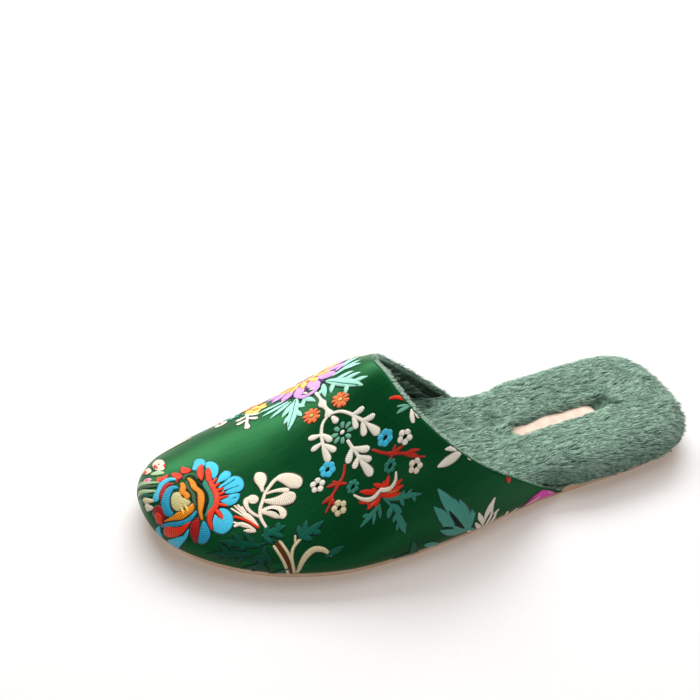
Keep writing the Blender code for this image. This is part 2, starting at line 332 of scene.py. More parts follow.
# %% Tape measure
ROWS, ACROSS, UNDER = 420, 150, 10
TAPE_REACH = 210                 # length of the last that is taped, back from the toe
FRACTIONS = np.linspace(0, 1, 221)
tau = np.linspace(0, 1, ROWS + 1)
row_station = LENGTH - TAPE_REACH * (1 - tau) ** 2


def section(station, side, columns, steps):
    """Points from the crest down one side and under the edge, one row for each station."""
    share = side * np.sin(np.linspace(0, math.pi / 2, columns + 1))
    grid_s = np.repeat(station[:, None], columns + 1, axis=1)
    x, z, inset, low = skin(grid_s, share[None] + 0 * grid_s)
    ahead = skin(np.clip(station + 0.05, None, LENGTH), side + 0 * station)[0]
    behind = skin(station - 0.05, side + 0 * station)[0]
    run = np.clip(station + 0.05, None, LENGTH) - station + 0.05
    size = np.hypot(ahead - behind, run)
    out_x, out_s = side * run / size, -side * (ahead - behind) / size
    out_x = np.where(station > LENGTH - 1e-6, 0.0, out_x)
    out_s = np.where(station > LENGTH - 1e-6, 1.0, out_s)
    turn = np.linspace(0, math.pi / 2, steps + 1)[1:]
    under = (TUCK - inset[:, -1:]) * (1 - np.cos(turn))
    x = np.concatenate((x, x[:, -1:] - out_x[:, None] * under), 1)
    grid_s = np.concatenate((grid_s, station[:, None] - out_s[:, None] * under), 1)
    foot = SOLE + 0.3
    z = np.concatenate((z, foot + (z[:, -1:] - foot) * (1 - np.sin(turn))), 1)
    return place(x, grid_s, z)


TAPE = {}
for side in (1, -1):
    points = section(row_station, side, ACROSS, UNDER)
    step = np.linalg.norm(np.diff(points, axis=1), axis=2)
    run = np.concatenate((np.zeros((ROWS + 1, 1)), np.cumsum(step, 1)), 1)
    even = np.empty((ROWS + 1, len(FRACTIONS), 3))
    for i in range(ROWS + 1):
        for k in range(3):
            even[i, :, k] = np.interp(FRACTIONS * run[i, -1], run[i], points[i, :, k])
    normal = np.cross(np.gradient(even, axis=0), np.gradient(even, axis=1)) * side
    normal /= np.maximum(np.linalg.norm(normal, axis=2, keepdims=True), 1e-12)
    TAPE[side] = {"run": run, "points": even, "normals": normal}
print("girth of the outer side at the ball:", round(float(TAPE[1]["run"][200, -1]), 1), "mm")


def sample(grid, rows, columns):
    """Read a grid between its points."""
    r = np.clip(rows * (grid.shape[0] - 1), 0, grid.shape[0] - 1.000001)
    c = np.clip(columns * (grid.shape[1] - 1), 0, grid.shape[1] - 1.000001)
    i, j = r.astype(int), c.astype(int)
    f, g = r - i, c - j
    if grid.ndim == 3:
        f, g = f[..., None], g[..., None]
    return ((grid[i, j] * (1 - f) + grid[i + 1, j] * f) * (1 - g)
            + (grid[i, j + 1] * (1 - f) + grid[i + 1, j + 1] * f) * g)


def row_of(station):
    return 1 - np.sqrt(np.clip((LENGTH - station) / TAPE_REACH, 0, 1))


def girth(station, side, column):
    """Tape length down to a column of the section, from 0 at the crest to 1 underneath."""
    return sample(TAPE[side]["run"], row_of(station), column)


# %% [markdown]
# ## Soft troughs and ridges
#
# Padded satin is never quite smooth. It gives a little where the toes bend, where the collar
# pulls and over each row of needlework. A short table of troughs and ridges is added to the
# last along its normal, and both the cloth and the needlework follow it.

# %% Give of the cloth
GIVE = (
    # station, girth, half length, half width, angle, rise
    (205, 18, 34, 11, 72, -0.22),
    (214, -14, 30, 10, 96, -0.18),
    (228, 30, 24, 9, 60, 0.16),
    (172, 34, 30, 13, 20, 0.18),
    (150, 58, 34, 11, 35, -0.25),
    (128, 74, 26, 9, 18, 0.18),
    (186, -46, 30, 11, 105, -0.22),
    (160, -62, 30, 11, -30, 0.18),
    (240, -30, 22, 9, -60, -0.15),
)


def give(station, tape):
    """Rise of the cloth over the last, in mm, at pattern points."""
    rise = np.zeros(np.shape(station))
    for s, g, length, width, angle, height in GIVE:
        turn = math.radians(angle)
        along = (station - s) * math.cos(turn) + (tape - g) * math.sin(turn)
        across = (tape - g) * math.cos(turn) - (station - s) * math.sin(turn)
        rise = rise + height * np.exp(-(along / length) ** 2 - (across / width) ** 2)
    return rise * ease((LENGTH - station) / 14)


def wrap(station, tape, lift=0.0):
    """Lay pattern points on the last at a height over the cloth: positions and normals."""
    station, tape = np.asarray(station, float), np.asarray(tape, float)
    position = np.zeros(station.shape + (3,))
    normal = np.zeros(station.shape + (3,))
    row = row_of(station)
    for side in (1, -1):
        mine = tape >= 0 if side > 0 else tape < 0
        total = sample(TAPE[side]["run"], row[mine], 1.0 + 0 * row[mine])
        part = np.abs(tape[mine]) / total
        position[mine] = sample(TAPE[side]["points"], row[mine], part)
        normal[mine] = sample(TAPE[side]["normals"], row[mine], part)
    normal /= np.maximum(np.linalg.norm(normal, axis=-1, keepdims=True), 1e-9)
    return position + normal * (lift + give(station, tape))[..., None], normal


# %% [markdown]
# ## The satin upper
#
# The face of the upper is one cut of satin, pulled over the last and turned under at the sole.
# It starts as a flat grid, the cut cloth, which is laid on the last row by row from the collar
# to the toe. The two halves meet at the tip, where their points are welded, and Solidify gives
# the cloth and its backing their thickness. The grid keeps the flat pattern as its UV map, in
# metres, so the weave runs along the foot as it does on the real cloth.

# %% Helpers for meshes
def only(piece):
    """Select one object and make it active."""
    bpy.ops.object.select_all(action="DESELECT")
    piece.select_set(True)
    bpy.context.view_layer.objects.active = piece


def edit(*steps):
    """Run mesh operators on everything in the active object."""
    bpy.ops.object.mode_set(mode="EDIT")
    bpy.ops.mesh.select_all(action="SELECT")
    for operator, settings in steps:
        operator(**settings)
    bpy.ops.object.mode_set(mode="OBJECT")


def points_of(piece):
    flat_list = np.empty(len(piece.data.vertices) * 3)
    piece.data.vertices.foreach_get("co", flat_list)
    return flat_list.reshape(-1, 3)


def set_points(piece, millimetres):
    piece.data.vertices.foreach_set("co", (np.asarray(millimetres) * MM).ravel())
    piece.data.update()


def set_uv(piece, pattern, name="pattern"):
    """One pattern point for each vertex, in mm, stored as a UV map in metres."""
    layer = piece.data.uv_layers.get(name) or piece.data.uv_layers.new(name=name)
    corner = np.empty(len(piece.data.loops), int)
    piece.data.loops.foreach_get("vertex_index", corner)
    layer.data.foreach_set("uv", (np.asarray(pattern)[corner] * MM).ravel())


def join_mesh(name, verts, faces, mats, face_mats=None, uv=None):
    """A piece from arrays in mm, with faces given as an array of corner indices."""
    mesh = bpy.data.meshes.new(name)
    corners = faces.shape[1]
    mesh.vertices.add(len(verts))
    mesh.vertices.foreach_set("co", (verts * MM).ravel())
    mesh.loops.add(faces.size)
    mesh.loops.foreach_set("vertex_index", faces.ravel())
    mesh.polygons.add(len(faces))
    mesh.polygons.foreach_set("loop_start", np.arange(0, faces.size, corners))
    for made in mats:
        mesh.materials.append(made)
    if face_mats is not None:
        mesh.polygons.foreach_set("material_index", face_mats)
    mesh.update(calc_edges=True)
    piece = bpy.data.objects.new(name, mesh)
    bpy.context.scene.collection.objects.link(piece)
    if uv is not None:
        set_uv(piece, uv)
    mesh.shade_smooth()
    return piece


def dress(piece, made):
    """Give a piece one material and no other."""
    piece.data.materials.clear()
    piece.data.materials.append(made)


def use_modifier(piece, kind, **settings):
    """Add a modifier and apply it at once."""
    only(piece)
    added = piece.modifiers.new(kind.lower(), kind)
    for key, value in settings.items():
        setattr(added, key, value)
    bpy.ops.object.modifier_apply(modifier=added.name)


# %% Cut and lay the satin
UNDERTURN = 0.10    # share of the half width that turns under at the sole


def pattern_points(grid, reach=1.0):
    """Stations and girths for a grid that runs from -1 to 1 both ways."""
    across = grid[:, 0] * (1 + UNDERTURN)
    along = (grid[:, 1] + 1) / 2 * reach
    side = np.where(across >= 0, 1, -1)
    part = np.minimum(np.abs(across), 1.0)
    end = np.where(side > 0, COLLAR_END[1], COLLAR_END[-1])
    start = COLLAR_PEAK + (end - COLLAR_PEAK) * part ** COLLAR_POWER
    station = start + (LENGTH - start) * np.sin(along * math.pi / 2)
    turned = np.clip((np.abs(across) - 1) / UNDERTURN, 0, 1)
    column = (part * ACROSS + turned * UNDER) / (ACROSS + UNDER)
    tape = np.where(side > 0, girth(station, 1, column), -girth(station, -1, column))
    return station, tape


def lay_cloth(name, columns, rows, lift, reach=1.0):
    """A grid of cloth laid on the last, with its flat pattern as UV map."""
    bpy.ops.object.select_all(action="DESELECT")
    bpy.ops.mesh.primitive_grid_add(x_subdivisions=columns, y_subdivisions=rows, size=2)
    piece = bpy.context.object
    piece.name = piece.data.name = name
    station, tape = pattern_points(points_of(piece), reach)
    position, normal = wrap(station, tape, lift)
    piece.data.uv_layers.remove(piece.data.uv_layers[0])
    set_uv(piece, np.stack((station, tape), -1))
    set_points(piece, position)
    edit((bpy.ops.mesh.remove_doubles, {"threshold": 0.00002}),
         (bpy.ops.mesh.flip_normals, {}))
    piece.data.shade_smooth()
    return piece


upper = lay_cloth("satin_upper", 152, 120, 0.0)
use_modifier(upper, "SOLIDIFY", thickness=1.1 * MM, offset=-1.0, use_rim=True)
print("satin upper:", len(upper.data.polygons), "faces")

# %% [markdown]
# ## How satin shines
#
# Satin is woven so that long threads of the warp float on its face. They run along the foot,
# so a highlight spreads across them into a long soft band. The recipe has an anisotropic
# shader with its tangent along the pattern, two sizes of slub along the threads, and a warm
# sheen, because the weft under the green warp is brown.

# %% Satin
satin, shader = finish("green_satin", 0.33, Anisotropic=0.5, Metallic=0.30, Sheen_Weight=0.04,
                       Sheen_Roughness=0.3, Sheen_Tint=dye(190, 140, 100),
                       Specular_IOR_Level=0.15, Specular_Tint=dye(150, 225, 175))
threads = place_map(satin, "UV", (260, 3400, 1))
slubs = place_map(satin, "UV", (90, 900, 1))
drift = place_map(satin, "UV", (14, 30, 1))
fine_threads = noise(satin, threads, 1.0, 1.0)
slub = noise(satin, slubs, 1.0, 2.0)
cloud = noise(satin, drift, 1.0, 3.0)
body = ramp(satin, cloud, (0.30, dye(15, 64, 36)), (0.62, dye(22, 76, 44)),
            (0.8, dye(34, 86, 54)))
streak = ramp(satin, slub, (0.25, (0.80, 0.80, 0.80, 1)), (0.75, (1.12, 1.08, 1.03, 1)))
link(satin, multiply(satin, body, streak, 0.95), shader.inputs["Base Color"])
low = bump(satin, slub, 0.00008, 0.5)
link(satin, bump(satin, fine_threads, 0.00004, 0.6, low), shader.inputs["Normal"])
tangent = node(satin, "ShaderNodeTangent", {"direction_type": "UV_MAP", "uv_map": "pattern"})
link(satin, tangent.outputs["Tangent"], shader.inputs["Tangent"])
dress(upper, satin)
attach(upper, "root")
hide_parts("upper")

# %% [markdown]
# ## Plush
#
# Plush is a dense pile of fine fibres that clump into small wavy locks. Each lock below carries
# an attribute that runs from 0 at its root to 1 at its tip, and the finish reads it: the locks
# are painted darkest at their roots and palest at their tips, a painted shade for the gaps
# between the locks, where no light comes. The cloth that the pile grows from has the same
# colours in a clumpy noise, for the places where it shows.

# %% Plush finishes
# The deepest colour is a painted shade for the roots of the locks.
ROOT_SHADE, MID, PALE = dye(44, 68, 56), dye(100, 132, 116), dye(164, 190, 174)

pile, shader = finish("plush_pile", 0.85, Sheen_Weight=0.45, Sheen_Roughness=0.5,
                      Sheen_Tint=dye(205, 225, 210), Specular_IOR_Level=0.15)
tone_and_shade = node(pile, "ShaderNodeAttribute", {"attribute_name": "tone_and_shade"}).outputs["Fac"]
patch = noise(pile, place_map(pile, "Object", (1, 1, 1)), 160.0, 2.0)
spread = node(pile, "ShaderNodeMath", {"operation": "MULTIPLY_ADD"})
link(pile, patch, spread.inputs[0])
spread.inputs[1].default_value = 0.35
spread.inputs[2].default_value = -0.17
toned = node(pile, "ShaderNodeMath", {"operation": "ADD"})
link(pile, tone_and_shade, toned.inputs[0])
link(pile, spread.outputs[0], toned.inputs[1])
link(pile, ramp(pile, toned.outputs[0], (0.0, ROOT_SHADE), (0.42, MID), (1.0, PALE)),
     shader.inputs["Base Color"])
hairs = noise(pile, place_map(pile, "Object", (1, 1, 1)), 2600.0, 1.0)
link(pile, bump(pile, hairs, 0.00012, 0.5), shader.inputs["Normal"])

plush, shader = finish("plush_ground", 0.95, Sheen_Weight=0.3, Sheen_Roughness=0.6,
                       Specular_IOR_Level=0.1)
clump = noise(plush, place_map(plush, "Object", (1, 1, 1)), 420.0, 3.0, 0.6)
link(plush, ramp(plush, clump, (0.3, dye(30, 52, 40)), (0.7, dye(96, 130, 108))),
     shader.inputs["Base Color"])
link(plush, bump(plush, clump, 0.0008, 0.8), shader.inputs["Normal"])

# %% [markdown]
# ## The lining
#
# Inside the upper lies a plush lining. It is a second cut of cloth, laid under the satin with
# a hair of air between them.

# %% Lay the lining
lining = lay_cloth("plush_lining", 92, 70, -1.35)
use_modifier(lining, "SOLIDIFY", thickness=0.9 * MM, offset=-1.0, use_rim=True)
dress(lining, plush)
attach(lining, "root")
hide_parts("upper")
print("lining:", len(lining.data.polygons), "faces")

# %% [markdown]
# ## The footbed
#
# The footbed is foam in a plush cover. A copy of its solid is welded, remeshed to even cells
# and blown up a little by a cloth simulation with pressure, which crowns the top and rounds
# the edge as foam does. The underside, the part inside the upper and the walls of the recess
# are pinned, and no point may move further than a set distance, so the pad keeps its place.

# %% Blow up the pad
def copy_of(node_name, name):
    """A welded copy of a solid, free of the frame's own marks."""
    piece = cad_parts[node_name].copy()
    piece.data = piece.data.copy()
    piece.name = piece.data.name = name
    for key in list(piece.keys()):
        del piece[key]
    piece.parent = None
    bpy.context.scene.collection.objects.link(piece)
    piece.hide_render = piece.hide_viewport = False
    only(piece)
    edit((bpy.ops.mesh.remove_doubles, {"threshold": 0.00001}))
    return piece


def plan_of(points):
    """Plan x and station of points in mm in the frame."""
    x, y = points[:, 0] + MIDDLE[0], points[:, 1] + MIDDLE[1]
    return (x * math.cos(TURN) + y * math.sin(TURN), x * math.sin(TURN) - y * math.cos(TURN))


SWELL = 1.6                      # most that a point may move, in mm
FRAMES = 16                      # steps of the cloth simulation
SLOT_HALF, SLOT_MIDDLE, SLOT_ROUND = 30.0, 64.5, 5.5


def slot_gap_at(x, station):
    """Distance from the middle line of the recess, measured round its ends."""
    beyond = np.abs(station - SLOT_MIDDLE) - SLOT_HALF + SLOT_ROUND
    return np.hypot(x, np.clip(beyond, 0, None))


pad = copy_of("footbed", "footbed_pad")
use_modifier(pad, "REMESH", mode="VOXEL", voxel_size=0.0026)
rest = points_of(pad) / MM
x, station = plan_of(rest)
in_slot = slot_gap_at(x, station) < 7.5
held = (rest[:, 2] < 8.0) | in_slot | (station > 118)
group = pad.vertex_groups.new(name="held")
group.add([int(i) for i in np.nonzero(held)[0]], 1.0, "REPLACE")
only(pad)
cloth = pad.modifiers.new("cloth", "CLOTH")
cloth.settings.quality = 4
cloth.settings.mass = 0.3
cloth.settings.use_pressure = True
cloth.settings.uniform_pressure_force = 4.0
cloth.settings.effector_weights.gravity = 0.0
cloth.settings.vertex_group_mass = "held"
cloth.point_cache.frame_start, cloth.point_cache.frame_end = 1, FRAMES
for step in range(1, FRAMES + 1):
    bpy.context.scene.frame_set(step)
bpy.ops.object.modifier_apply(modifier=cloth.name)
bpy.context.scene.frame_set(1)
blown = points_of(pad) / MM
moved = blown - rest
size = np.linalg.norm(moved, axis=1, keepdims=True)
moved *= np.minimum(1.0, SWELL / np.maximum(size, 1e-6))
print("pad: largest move before the cap", round(float(size.max()), 2), "mm")

# %% [markdown]
# A worn-in look comes from small hollows: three wide and shallow ones round the recess, and
# two deep dimples where the cover is caught down near its ends.

# %% Hollows and dimples
DIMPLES = (
    # plan x, station, radius, depth
    (-6.0, 96.0, 7.0, 3.2),
    (-8.5, 43.0, 7.0, 2.6),
    (9.0, 66.0, 16.0, 0.8),
    (-14.0, 66.0, 16.0, 0.9),
    (2.0, 112.0, 22.0, 1.0),
)
shaped = rest + moved
top = ease((shaped[:, 2] - 12.0) / 5.0)
for dx, ds, radius, depth in DIMPLES:
    near = np.exp(-((x - dx) ** 2 + (station - ds) ** 2) / radius ** 2)
    shaped[:, 2] -= depth * near * top * ~in_slot
set_points(pad, shaped)
pad.vertex_groups.clear()
use_modifier(pad, "SMOOTH", factor=0.4, iterations=1)
use_modifier(pad, "SUBSURF", levels=1, render_levels=1)
dress(pad, plush)
pad.data.shade_smooth()
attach(pad, "root")
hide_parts("footbed")
print("pad:", len(pad.data.polygons), "faces")


# %% [markdown]
# ## One lock of pile
#
# A lock is a three-sided cone, cut once across so that it can bend. It is modelled once
# and copied thousands of times as arrays: each copy leaves its root, rises, lies down along
# the way the pile is brushed, waves a little and ends in a point. Neighbours lean towards one
# shared tip, which opens the dark gaps that make plush look deep.

# %% Model the lock
bpy.ops.object.select_all(action="DESELECT")
bpy.ops.mesh.primitive_cone_add(vertices=3, radius1=1, radius2=0, depth=1,
                                location=(0, 0, 0.5), end_fill_type="NGON")
lock = bpy.context.object
bpy.ops.object.transform_apply(location=True)
edit((bpy.ops.mesh.bisect, {"plane_co": (0, 0, 0.45), "plane_no": (0, 0, 1)}))
edit((bpy.ops.mesh.quads_convert_to_tris, {}))
shape = points_of(lock)
LOCK_AT = np.clip(shape[:, 2], 0, 1)
radius = np.maximum(np.hypot(shape[:, 0], shape[:, 1]), 1e-9)
LOCK_SIDE, LOCK_UP = shape[:, 0] / radius, shape[:, 1] / radius
LOCK_FACES = np.array([list(face.vertices) for face in lock.data.polygons])
bpy.data.objects.remove(lock)
print("a lock has", len(LOCK_FACES), "triangles")


# %% Grow a pile
def unit(vectors):
    return vectors / np.maximum(np.linalg.norm(vectors, axis=-1, keepdims=True), 1e-9)


def grow(name, root, normal, comb, length, lift, width, tone_and_shade, lean=0.65, clump=8):
    """Locks from roots in mm. Length, lift, width and tone are one value or one per lock."""
    count = len(root)
    length, lift, width, tone_and_shade = (np.broadcast_to(v, count) for v in (length, lift, width, tone_and_shade))
    comb = unit(comb - normal * np.sum(comb * normal, axis=1, keepdims=True))
    aside = np.cross(normal, comb)
    leaders = rng.choice(count, max(count // clump, 1), replace=False)
    tree = KDTree(len(leaders))
    for k, i in enumerate(leaders):
        tree.insert(root[i], k)
    tree.balance()
    mate = np.array([leaders[tree.find(point)[1]] for point in root])
    turn = rng.normal(0, 0.12, count)[mate] + rng.normal(0, 0.08, count)
    way = unit(comb * np.cos(turn)[:, None] + aside * np.sin(turn)[:, None])
    aside = np.cross(normal, way)
    grown = length * (rng.uniform(0.8, 1.15, count)[mate]) * rng.uniform(0.9, 1.1, count)
    raised = lift * rng.uniform(0.65, 1.3, count)[mate]
    tip = root + way * grown[:, None] + normal * (0.7 * raised)[:, None]
    pull = (tip[mate] - tip) * lean
    wave = rng.uniform(-1, 1, count)[mate] * 0.5 + rng.normal(0, 0.15, count)
    phase = rng.uniform(0, 6.3, count)[mate]

    at = LOCK_AT[None, :, None]
    rise = np.sin(math.pi * 0.75 * LOCK_AT ** 0.6)[None, :, None]
    centre = (root[:, None] - normal[:, None] * 0.5 + way[:, None] * grown[:, None, None] * at
              + normal[:, None] * (raised[:, None, None] * rise + 0.5 * np.minimum(at * 4, 1))
              + pull[:, None] * at ** 2)
    swing = np.sin(LOCK_AT[None, :] * 5.2 + phase[:, None]) * wave[:, None] * LOCK_AT[None, :]
    centre = centre + aside[:, None] * swing[..., None]
    thick = ((0.5 + 0.5 * np.sin(math.pi / 2 * np.minimum(LOCK_AT / 0.5, 1)))
             * (1 - LOCK_AT ** 3) ** 0.8)
    spread = width[:, None] * thick[None, :]
    verts = (centre + aside[:, None] * (spread * LOCK_SIDE[None])[..., None]
             + normal[:, None] * (0.6 * spread * LOCK_UP[None])[..., None])
    faces = LOCK_FACES[None] + (np.arange(count) * len(LOCK_AT))[:, None, None]
    piece = join_mesh(name, verts.reshape(-1, 3), faces.reshape(-1, 3), [pile])
    # Each lock's value varies at random by clump and by lock, and each lock is then painted darker towards
    # its root, a painted shade for the gaps between locks.
    shade = (tone_and_shade + rng.normal(0, 0.07, count)[mate] + rng.normal(0, 0.05, count))[:, None]
    shade = np.clip(shade - 0.45 + 0.75 * LOCK_AT[None] ** 0.8, 0, 1)
    store = piece.data.attributes.new("tone_and_shade", "FLOAT", "POINT")
    store.data.foreach_set("value", shade.ravel())
    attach(piece, "root")
    print(name + ":", count, "locks,", len(piece.data.polygons), "triangles")
    return piece


# %% [markdown]
# ## Pile on the footbed
#
# The footbed's pile is brushed from the toe to the heel. On the side of the pad it also falls
# towards the floor. Finer and looser hairs lie over the top. A painted shadow of the upper's
# inner wall darkens the pile beside it, and the pile on the pad's side is painted darker than
# on the top, a painted shade. Roots are scattered over the pad's own faces by area, three
# times as densely on its side, and the recess and everything deep inside the upper stay free
# of them.

# %% Scatter the roots
HEELWARD = np.array((-math.sin(TURN), math.cos(TURN), 0.0))
pad.data.calc_loop_triangles()
corner = np.empty(len(pad.data.loop_triangles) * 3, int)
pad.data.loop_triangles.foreach_get("vertices", corner)
corner = corner.reshape(-1, 3)
bed = points_of(pad) / MM
bed_normal = np.empty(len(bed) * 3)
pad.data.vertex_normals.foreach_get("vector", bed_normal)
bed_normal = bed_normal.reshape(-1, 3)
a, b, c = (bed[corner[:, k]] for k in range(3))
area = np.linalg.norm(np.cross(b - a, c - a), axis=1) / 2
area *= np.where(bed_normal[corner, 2].mean(axis=1) < 0.5, 3.0, 1.0)    # more on the sides


def collar_station(x, station):
    """Station of the collar's edge straight above a plan point."""
    mid, width = outline(station)
    share = np.clip((x - mid) / np.maximum(width, 1), -1, 1)
    end = np.where(share >= 0, COLLAR_END[1], COLLAR_END[-1])
    part = np.abs(np.arcsin(share) * 2 / math.pi)
    return COLLAR_PEAK + (end - COLLAR_PEAK) * part ** COLLAR_POWER, share


def collar_level(station, share):
    """Height of the satin's cut edge at a station, on the side that a share lies on."""
    end = np.where(share >= 0, COLLAR_END[1], COLLAR_END[-1])
    part = np.clip((COLLAR_PEAK - station) / (COLLAR_PEAK - end), 0, 1) ** (1 / COLLAR_POWER)
    level = skin(station, np.sign(share) * np.sin(part * math.pi / 2))[1]
    return np.where(station > end, level, 0.0)


def scatter(count):
    """Random points on the pad's faces with their normals."""
    face = rng.choice(len(area), count, p=area / area.sum())
    u, v = rng.random(count), rng.random(count)
    over = u + v > 1
    u[over], v[over] = 1 - u[over], 1 - v[over]
    w = np.stack((1 - u - v, u, v), -1)[..., None]
    return (bed[corner[face]] * w).sum(1), unit((bed_normal[corner[face]] * w).sum(1))


root, normal = scatter(150000)
x, station = plan_of(root)
collar_s, share = collar_station(x, station)
side_end = np.where(share >= 0, COLLAR_END[1], COLLAR_END[-1])
slot_gap = slot_gap_at(x, station)
open_top = (normal[:, 2] > 0.45) & (slot_gap > 4.7) & (root[:, 2] > 11)
open_top &= (station < collar_s + 26) & ((np.abs(share) < 0.9) | (station < side_end + 4))
above_satin = root[:, 2] > collar_level(station, share) + 0.3
lowest = np.where(station > side_end - 9, 5.6, 9.8)
open_side = (normal[:, 2] <= 0.45) & (root[:, 2] > lowest) & (station < side_end + 18)
open_side &= (slot_gap > 9) & above_satin
print("roots on top:", int(open_top.sum()), "and on the side:", int(open_side.sum()))


# %% Brush the footbed
# A painted shadow of the upper's inner wall darkens the pile past a line from this station and
# share, over this width.
WALL_SHADOW_STATION, WALL_SHADOW_SHARE, WALL_SHADOW_SLOPE, WALL_SHADOW_WIDTH = 95, 0.83, 0.016, 0.26


def brushed(chosen, most):
    """Thin the roots to a number, and give their comb and the painted shadow beside the wall."""
    index = np.nonzero(chosen)[0]
    index = rng.choice(index, min(most, len(index)), replace=False)
    n = normal[index]
    steep = np.clip(1 - n[:, 2], 0, 1)[:, None]
    outward = unit(n * np.array((1.0, 1.0, 0.0)) + 1e-6)
    border = ease((np.abs(share[index]) - 0.5) / 0.45)[:, None]
    behind = ease((side_end[index] + 10 - station[index]) / 20)[:, None]
    flow = (HEELWARD[None] * (1 - 0.15 * steep) + np.array((0, 0, -0.3)) * steep
            + outward * 0.5 * steep * behind + outward * 0.12 * border * behind)
    shaded = ease((WALL_SHADOW_SLOPE * (station - WALL_SHADOW_STATION) - WALL_SHADOW_SHARE - share)[index] / WALL_SHADOW_WIDTH)
    return root[index], n, flow, shaded


# The pile is painted darker where the inner wall's painted shadow lies.
r, n, flow, shaded = brushed(open_top, 19000)
grow("heel_pile_top", r, n, flow, 7.2, 1.1, 0.34, 0.57 - 0.5 * shaded, lean=0.45, clump=6)
r, n, flow, shaded = brushed(open_top & (slot_gap > 5.6), 14000)
grow("heel_pile_loose", r, n, flow, 8.4, 1.5, 0.24, 0.67 - 0.55 * shaded, lean=0.25, clump=3)
# The pile on the pad's side is painted darker than on its top, a painted shade on the side.
r, n, flow = brushed(open_side, 9000)[:3]
grow("heel_pile_side", r, n, flow, 6.8, 1.5, 0.36, 0.45, lean=0.55, clump=7)


# %% [markdown]
# ## Pile at the collar
#
# The lining's pile shows as a pale fringe that stands a few millimetres out of the collar, and
# as a fuzzy wall further in, painted darker the deeper it lies inside the upper: a painted
# shade. Its roots lie on the lining's inner face and it is brushed towards the opening. The
# fringe is longest at the outer end of the collar. Along the inner side finer and looser hairs
# stand up over the edge.

# %% Grow the fringe
def inside(count, nearest, deepest, power):
    """Roots on the lining, between two shares of the way from the collar's edge to the toe."""
    grid = np.stack((rng.uniform(-1.02, 1.02, count) / (1 + UNDERTURN),
                     2 * (nearest + (deepest - nearest) * rng.random(count) ** power) - 1), -1)
    station, tape = pattern_points(grid)
    nearer = np.stack((grid[:, 0], np.maximum(grid[:, 1] - 0.01, -1.0)), -1)
    further = nearer + np.array((0.0, 0.01))
    towards = wrap(*pattern_points(nearer))[0] - wrap(*pattern_points(further))[0]
    position, outer = wrap(station, tape, -2.3)
    return position, outer, unit(towards), (grid[:, 1] + 1) / 2, grid[:, 0]


# The lining's pile is painted darker the deeper it lies inside the upper, a painted shade.
r, n, way, deep, _ = inside(9000, 0.035, 0.34, 1.2)
grow("lining_pile", r, -n, way, 8.0, 2.6, 0.40, 0.60 - 0.34 * ease((deep - 0.03) / 0.14))
r, n, way, _, across = inside(5000, 0.0, 0.006, 1.0)
low, end = ease((across - 0.1) / 0.5), ease((across - 0.84) / 0.1)
length = rng.uniform(2.4, 3.8, len(r)) * (1 - 0.4 * low + 1.3 * end)
grow("collar_fringe", r + n * 0.6, -n, way - n * 0.1, length, 0.8 - 0.3 * low, 0.30,
     0.66 - 0.16 * low, lean=0.3, clump=4)
r, n, way, _, across = inside(9000, 0.0, 0.012, 1.0)
chosen = across < -0.22
r, n, way, tall = r[chosen], n[chosen], way[chosen], ease((-across[chosen] - 0.2) / 0.3)
skyward = unit(np.array((0.0, 0.0, 1.0)) + rng.normal(0, 0.25, r.shape))
grow("collar_hair", r + n * 0.7, skyward, way, rng.uniform(2.2, 4.4, len(r)),
     rng.uniform(0.2, 2.3, len(r)) * tall, 0.26, 0.42, lean=0.1, clump=3)

# %% [markdown]
# ## Sole and label
#
# The outsole keeps its solid, because its shape is right, and gets a suede-like rubber finish
# with a fine grain. The label is a short woven ribbon. It is a thin slab whose middle is
# crowned a little, with both ends folded under, and it carries no words.

# %% Outsole finish
sole, shader = finish("tan_sole", 0.75, Specular_IOR_Level=0.3)
speck = noise(sole, place_map(sole, "Object", (1, 1, 1)), 1400.0, 3.0, 0.6)
stain = noise(sole, place_map(sole, "Object", (1, 1, 1)), 60.0, 2.0)
base = ramp(sole, speck, (0.3, dye(214, 182, 154)), (0.7, dye(238, 212, 188)))
tint = ramp(sole, stain, (0.35, (0.82, 0.76, 0.72, 1)), (0.65, (1.0, 1.0, 1.0, 1)))
link(sole, multiply(sole, base, tint), shader.inputs["Base Color"])
link(sole, bump(sole, speck, 0.00025, 0.7), shader.inputs["Normal"])
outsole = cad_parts["outsole"]
for index in range(max(1, len(outsole.material_slots))):
    if index < len(outsole.material_slots):
        outsole.material_slots[index].material = sole
    else:
        outsole.data.materials.append(sole)

# %% Woven label
ribbon, shader = finish("pink_ribbon", 0.7, Sheen_Weight=0.3, Sheen_Roughness=0.4)
yarn = place_map(ribbon, "Object", (1, 1, 1))
weave_a = node(ribbon, "ShaderNodeTexWave", {"bands_direction": "X"}, Vector=yarn, Scale=900.0)
weave_b = node(ribbon, "ShaderNodeTexWave", {"bands_direction": "Y"}, Vector=yarn, Scale=700.0)
crossed = node(ribbon, "ShaderNodeMath", {"operation": "MULTIPLY"})
link(ribbon, weave_a.outputs["Fac"], crossed.inputs[0])
link(ribbon, weave_b.outputs["Fac"], crossed.inputs[1])
shade_a = ramp(ribbon, noise(ribbon, yarn, 240.0, 2.0), (0.3, dye(186, 162, 150)),
               (0.7, dye(202, 182, 168)))
link(ribbon, shade_a, shader.inputs["Base Color"])
link(ribbon, bump(ribbon, crossed.outputs[0], 0.00012, 0.6), shader.inputs["Normal"])

